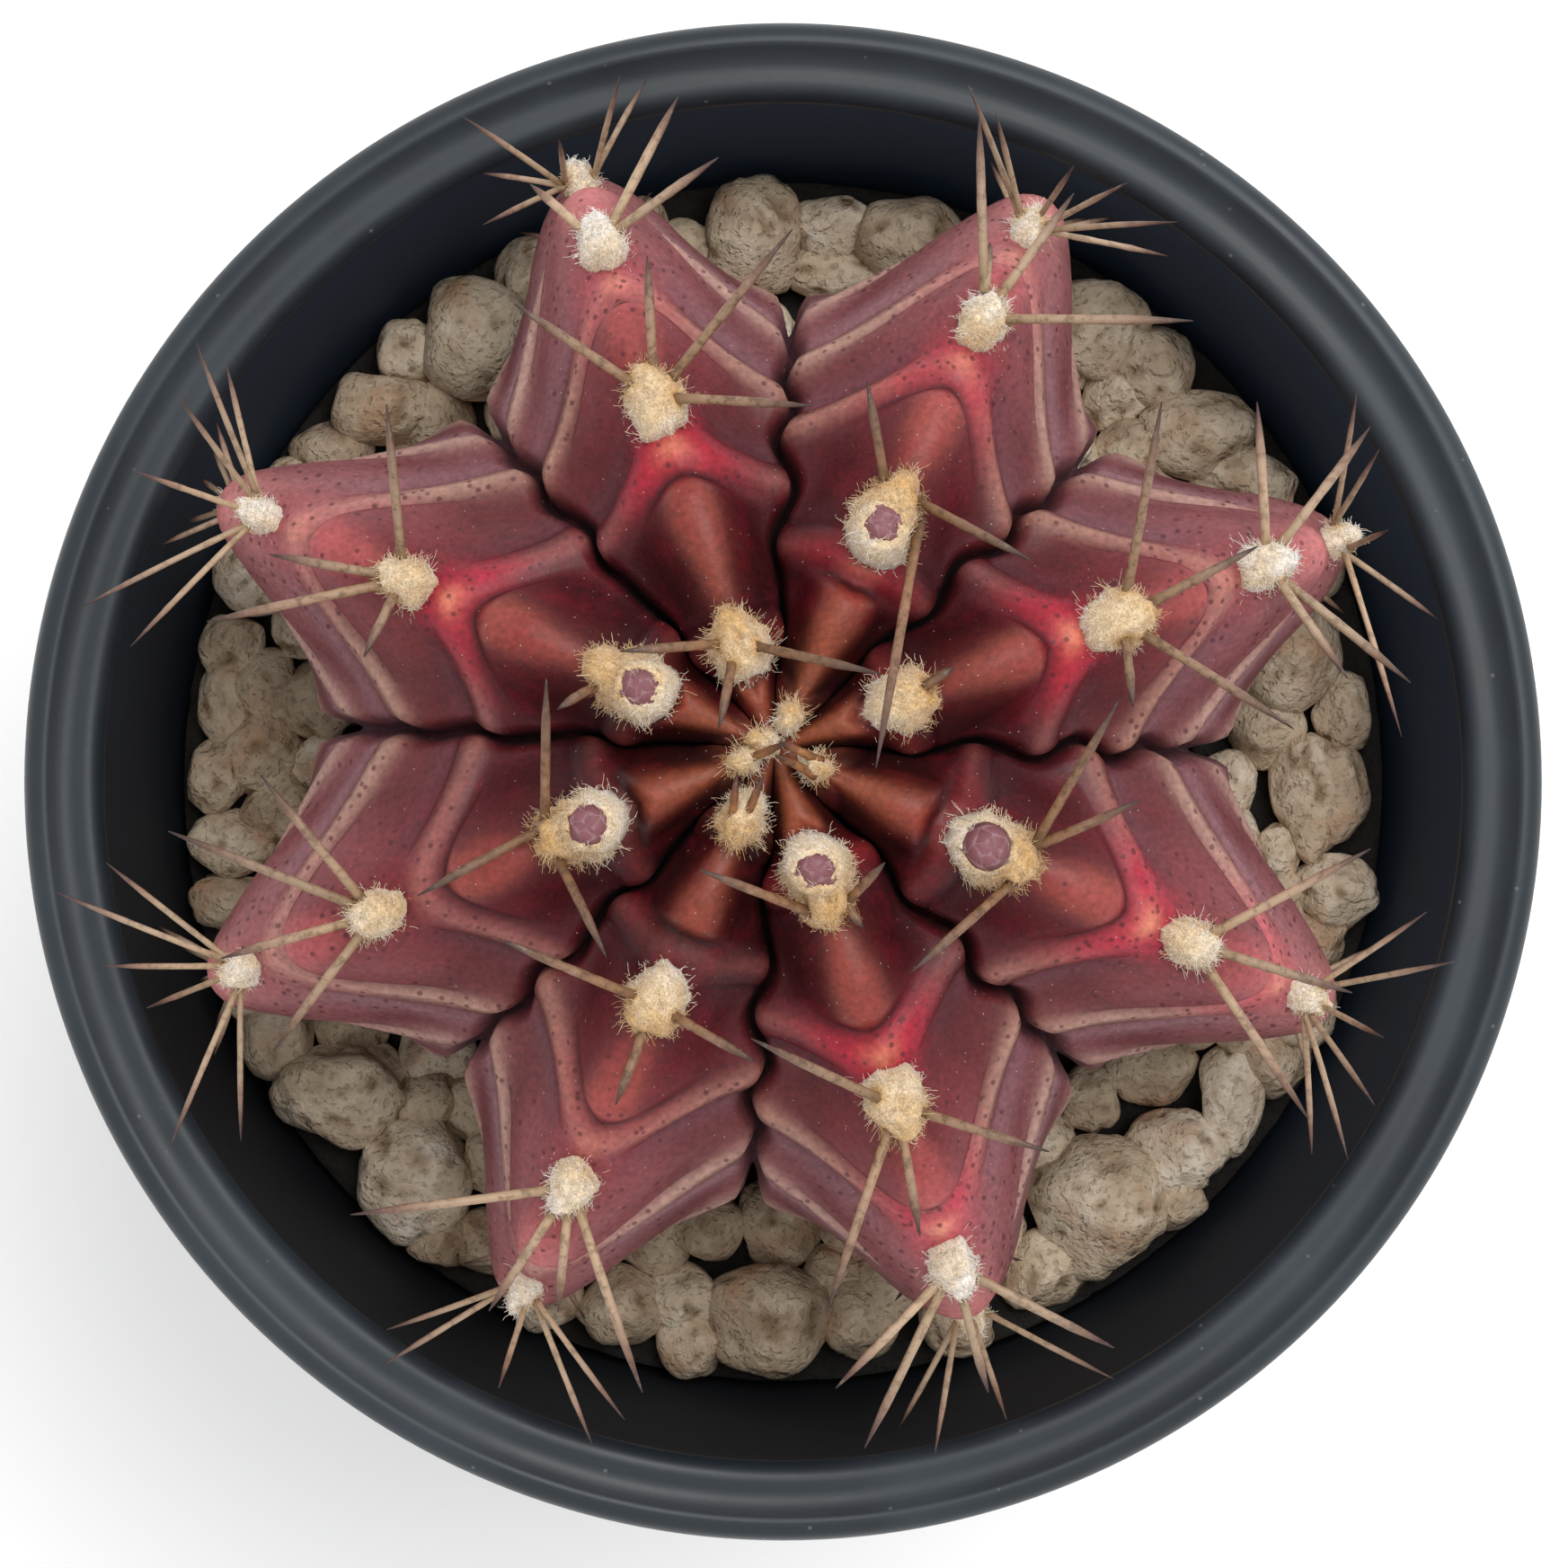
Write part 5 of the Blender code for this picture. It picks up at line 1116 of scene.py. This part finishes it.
def bedForm(look):
    # the bed of fine grit that the stones lie in, painted near black all over: painted shade in the gaps
    # between the stones
    outer = innerWall(look["bedTop"]) - 0.6
    profile = [(out, look["bedTop"]) for out in np.linspace(look["bedHole"], outer, look["bedRings"])]
    profile += [(innerWall(look["bedLow"]) - 0.6, look["bedLow"]), (look["bedHole"], look["bedLow"])]
    sides = look["bedSides"]
    grid = turnedGrid(profile, sides)
    for row in range(look["bedRings"]):
        for side in range(sides):
            spot = Vector(grid[row, side])
            grid[row, side, 2] += 0.55 * noise.noise(spot * 1.1) + 0.3 * noise.noise(spot * 2.6)
    faces = gridFaces(len(profile), sides)
    column = np.arange(sides)
    following = (column + 1) % sides
    last = (len(profile) - 1) * sides
    closing = np.stack((last + column, column, following, last + following), axis=-1)
    cloud = grid.reshape(-1, 3)
    return (cloud, [np.concatenate((faces, closing))],
            {"pit": np.zeros(len(cloud)), "low": np.ones(len(cloud)), "tint": np.full(len(cloud), 0.3)})


def buildStones(look, material):
    body = nodes["cactus_body"].data
    tree = BVHTree.FromPolygons([vertex.co for vertex in body.vertices],
                                [tuple(face.vertices) for face in body.polygons])
    draws = np.random.default_rng(look["formSeed"])
    parts = []
    for centre, size in stonePlaces(look):
        limit = innerWall(look["bedTop"]) - 0.3 - max(size.xy) * 0.53
        if centre.xy.length > limit:
            centre.xy = centre.xy * limit / centre.xy.length
        room = tree.find_nearest(centre * 0.001)[3] * 1000.0 - 0.9
        size = size * min(max(room / (max(size) * 0.565), 0.0), 1.0)
        if min(size) > look["least"]:
            centre.z = min(centre.z, look["bedTop"] + min(size) * look["sunk"])
            parts.append(stoneForm(centre, size, look, draws))
    for name, group in (("pumiceStones", parts[:look["upper"]]),
                        ("pumiceGravel", [*parts[look["upper"]:], bedForm(look)])):
        gathered(name, group, material, "pumice", "pumice_topping")


# Pumice: crushed volcanic glass foam. The eye sees dull beige-grey lumps with broken bubbles and rusty stains.
# the last colour is painted shade, for the bed and the stones' lower sides
pumiceLook = {"body": ((0.0, "#a89078"), (0.45, "#d0bba0"), (0.8, "#e6d4bc"), (1.0, "#f4e8d6")),
              "rust": "#b8845c", "pit": "#8a7052", "gapShade": "#08090a"}


def pumiceMaterial(look):
    material, add, shader, place = startMaterial("crushedPumice", IOR=1.5, Roughness=0.95)
    pit, low, tint = (add("ShaderNodeAttribute", attribute_name=name).outputs["Fac"]
                      for name in ("pit", "low", "tint"))
    cloud = add("ShaderNodeTexNoise",
                {"Vector": place, "Scale": scaleOf(2.2), "Detail": 6.0, "Roughness": 0.6}).outputs["Fac"]
    level = add("ShaderNodeMath", {0: tint, 1: 0.35, 2: cloud}, operation="MULTIPLY_ADD").outputs[0]
    shade = add("ShaderNodeMapRange", {0: level, 1: 0.4, 2: 0.95}).outputs[0]
    colour = add("ShaderNodeValToRGB", {"Fac": shade}, stops=look["body"]).outputs["Color"]
    stain = add("ShaderNodeTexNoise", {"Vector": place, "Scale": scaleOf(3.2), "Detail": 3.0}).outputs["Fac"]
    rust = add("ShaderNodeMapRange", {0: stain, 1: 0.56, 2: 0.72, 3: 0.0, 4: 0.55}).outputs[0]
    # the smallest bubbles are 0.1 mm; they are drawn at 0.4 mm so that they show
    cells = add("ShaderNodeTexNoise", {"Vector": place, "Scale": scaleOf(0.4), "Detail": 2.0}).outputs["Fac"]
    bubble = add("ShaderNodeMapRange", {0: cells, 1: 0.46, 2: 0.34, 3: 0.0, 4: 0.3}).outputs[0]
    holes = add("ShaderNodeMath", {0: pit, 1: 0.85, 2: bubble}, operation="MULTIPLY_ADD",
                use_clamp=True).outputs[0]
    # the bed and the stones' lower sides are painted near black: painted shade between and under the stones
    gapShade = add("ShaderNodeMath", {0: low, 1: 0.98}, operation="MULTIPLY").outputs[0]
    for share, key in ((rust, "rust"), (holes, "pit"), (gapShade, "gapShade")):
        colour = add("ShaderNodeMix", {0: share, 6: colour, 7: toLinear(look[key])},
                     data_type="RGBA").outputs[2]
    grain = add("ShaderNodeTexNoise", {"Vector": place, "Scale": scaleOf(0.3), "Detail": 4.0}).outputs["Fac"]
    height = add("ShaderNodeMath", {0: bubble, 1: -1.6, 2: grain}, operation="MULTIPLY_ADD").outputs[0]
    bump = add("ShaderNodeBump", {"Strength": 0.8, "Distance": 0.0002, "Height": height})
    follow(shader, Base_Color=colour, Normal=bump.outputs[0])
    return material


# Pot: injection-moulded black polypropylene. The eye sees a blue-black satin with scuffs and dust.
# the last three entries paint light and shade on the inner wall: the lit side's colour, the shaded side's
# colour, and the way to the lit side
potFinish = {"body": "#1c242a", "scuffed": "#323b42", "dust": "#8a8c8c", "wallLightShade": "#2a4058", "deep": "#080d15",
             "litWallSide": (0.45, 0.89, 0.0)}


def potMaterial(look):
    material, add, shader, place = startMaterial("mouldedPolypropylene", IOR=1.49, Specular_IOR_Level=0.44)
    cloud = add("ShaderNodeTexNoise", {"Vector": place, "Scale": scaleOf(9.0), "Detail": 5.0}).outputs["Fac"]
    worn = add("ShaderNodeMapRange", {0: cloud, 1: 0.45, 2: 0.75, 3: 0.0, 4: 0.5}).outputs[0]
    cells = add("ShaderNodeTexVoronoi", {"Vector": place, "Scale": scaleOf(1.3)})
    speck = add("ShaderNodeMapRange", {0: cells.outputs["Distance"], 1: 0.1, 2: 0.04}).outputs[0]
    draw = add("ShaderNodeSeparateColor", {0: cells.outputs["Color"]}).outputs[0]
    few = add("ShaderNodeMath", {0: draw, 1: 0.3}, operation="LESS_THAN").outputs[0]
    dust = add("ShaderNodeMath", {0: speck, 1: few}, operation="MULTIPLY").outputs[0]
    dust = add("ShaderNodeMath", {0: dust, 1: 0.3}, operation="MULTIPLY").outputs[0]
    # painted light and shade on the upper inner wall: one side is painted a lighter blue-black, the other near
    # black, as the light falls
    wall = add("ShaderNodeAttribute", attribute_name="wall").outputs["Fac"]
    toward = add("ShaderNodeVectorMath", {0: place, 1: look["litWallSide"]},
                 operation="DOT_PRODUCT").outputs["Value"]
    side = add("ShaderNodeMapRange", {0: toward, 1: -0.02, 2: 0.03, 3: 0.0, 4: 0.95}).outputs[0]
    wallLightShade = add("ShaderNodeMix", {0: side, 6: toLinear(look["deep"]), 7: toLinear(look["wallLightShade"])},
               data_type="RGBA").outputs[2]
    colour = toLinear(look["body"])
    for share, tint in ((worn, toLinear(look["scuffed"])), (dust, toLinear(look["dust"])), (wall, wallLightShade)):
        colour = add("ShaderNodeMix", {0: share, 6: colour, 7: tint}, data_type="RGBA").outputs[2]
    gloss = add("ShaderNodeMapRange", {0: cloud, 1: 0.3, 2: 0.7, 3: 0.36, 4: 0.52}).outputs[0]
    gloss = add("ShaderNodeMath", {0: wall, 1: 0.36, 2: gloss}, operation="MULTIPLY_ADD").outputs[0]
    skin = add("ShaderNodeTexNoise", {"Vector": place, "Scale": scaleOf(0.5), "Detail": 2.0}).outputs["Fac"]
    bump = add("ShaderNodeBump", {"Strength": 0.12, "Distance": 0.00005, "Height": skin})
    follow(shader, Base_Color=colour, Roughness=gloss, Normal=bump.outputs[0])
    return material


# Potting mix: damp peat with grit. The eye sees a dull dark brown crumb.
mixLook = {"crumb": ((0.3, "#16100b"), (0.5, "#2c2018"), (0.62, "#46362a"), (0.75, "#6e6152"))}


def mixMaterial(look):
    material, add, shader, place = startMaterial("peatMix", Roughness=1.0)
    crumb = add("ShaderNodeTexNoise", {"Vector": place, "Scale": scaleOf(1.2), "Detail": 8.0, "Roughness": 0.7})
    colour = add("ShaderNodeValToRGB", {"Fac": crumb.outputs["Fac"]}, stops=look["crumb"]).outputs["Color"]
    bump = add("ShaderNodeBump", {"Strength": 1.0, "Distance": 0.0006, "Height": crumb.outputs["Fac"]})
    follow(shader, Base_Color=colour, Normal=bump.outputs[0])
    return material


buildPot(potLook, potMaterial(potFinish))
mix = nodes["potting_mix"]
mix.data.materials.clear()
mix.data.materials.append(mixMaterial(mixLook))
buildStones(stoneLook, pumiceMaterial(pumiceLook))
print("pot, mix and stones built")

# floor and light

roomLook = {"floor": "#ffffff", "floorRadius": 3000.0, "world": 0.93, "lamp": 21.0, "lampSize": 1.3,
            "lampPlace": (0.54, 0.6, 1.72)}


def addFloor(look):
    sides = 64
    turn = fullTurn(sides)
    rim = np.stack((np.cos(turn), np.sin(turn), np.zeros(sides)), axis=-1) * look["floorRadius"] * 0.001
    mesh = bpy.data.meshes.new("studioFloor")
    faces = [(sides, side, (side + 1) % sides) for side in range(sides)]
    mesh.from_pydata([*map(tuple, rim), (0.0, 0.0, 0.0)], [], faces)
    material, add, shader, place = startMaterial("paleBoard", Base_Color=toLinear(look["floor"]), Roughness=0.8)
    fibre = add("ShaderNodeTexNoise", {"Vector": place, "Scale": scaleOf(2.0), "Detail": 3.0}).outputs["Fac"]
    bump = add("ShaderNodeBump", {"Strength": 0.05, "Distance": 0.0001, "Height": fibre})
    follow(shader, Normal=bump.outputs[0])
    mesh.materials.append(material)
    addObject("studioFloor", mesh)


def addLight(look):
    world = bpy.data.worlds.new("softRoom")
    world.use_nodes = True
    background = world.node_tree.nodes["Background"]
    background.inputs["Color"].default_value = (1.0, 1.0, 1.0, 1.0)
    background.inputs["Strength"].default_value = look["world"]
    bpy.context.scene.world = world
    data = bpy.data.lights.new("softLamp", "AREA")
    data.shape = "DISK"
    data.size = look["lampSize"]
    data.energy = look["lamp"]
    lamp = addObject("softLamp", data)
    lamp.location = look["lampPlace"]
    lamp.rotation_mode = "QUATERNION"
    lamp.rotation_quaternion = Vector(look["lampPlace"]).to_track_quat("Z", "Y")
    lamp.visible_camera = False
    bpy.context.scene.view_settings.view_transform = "Standard"


addFloor(roomLook)
addLight(roomLook)
print("floor and light set")
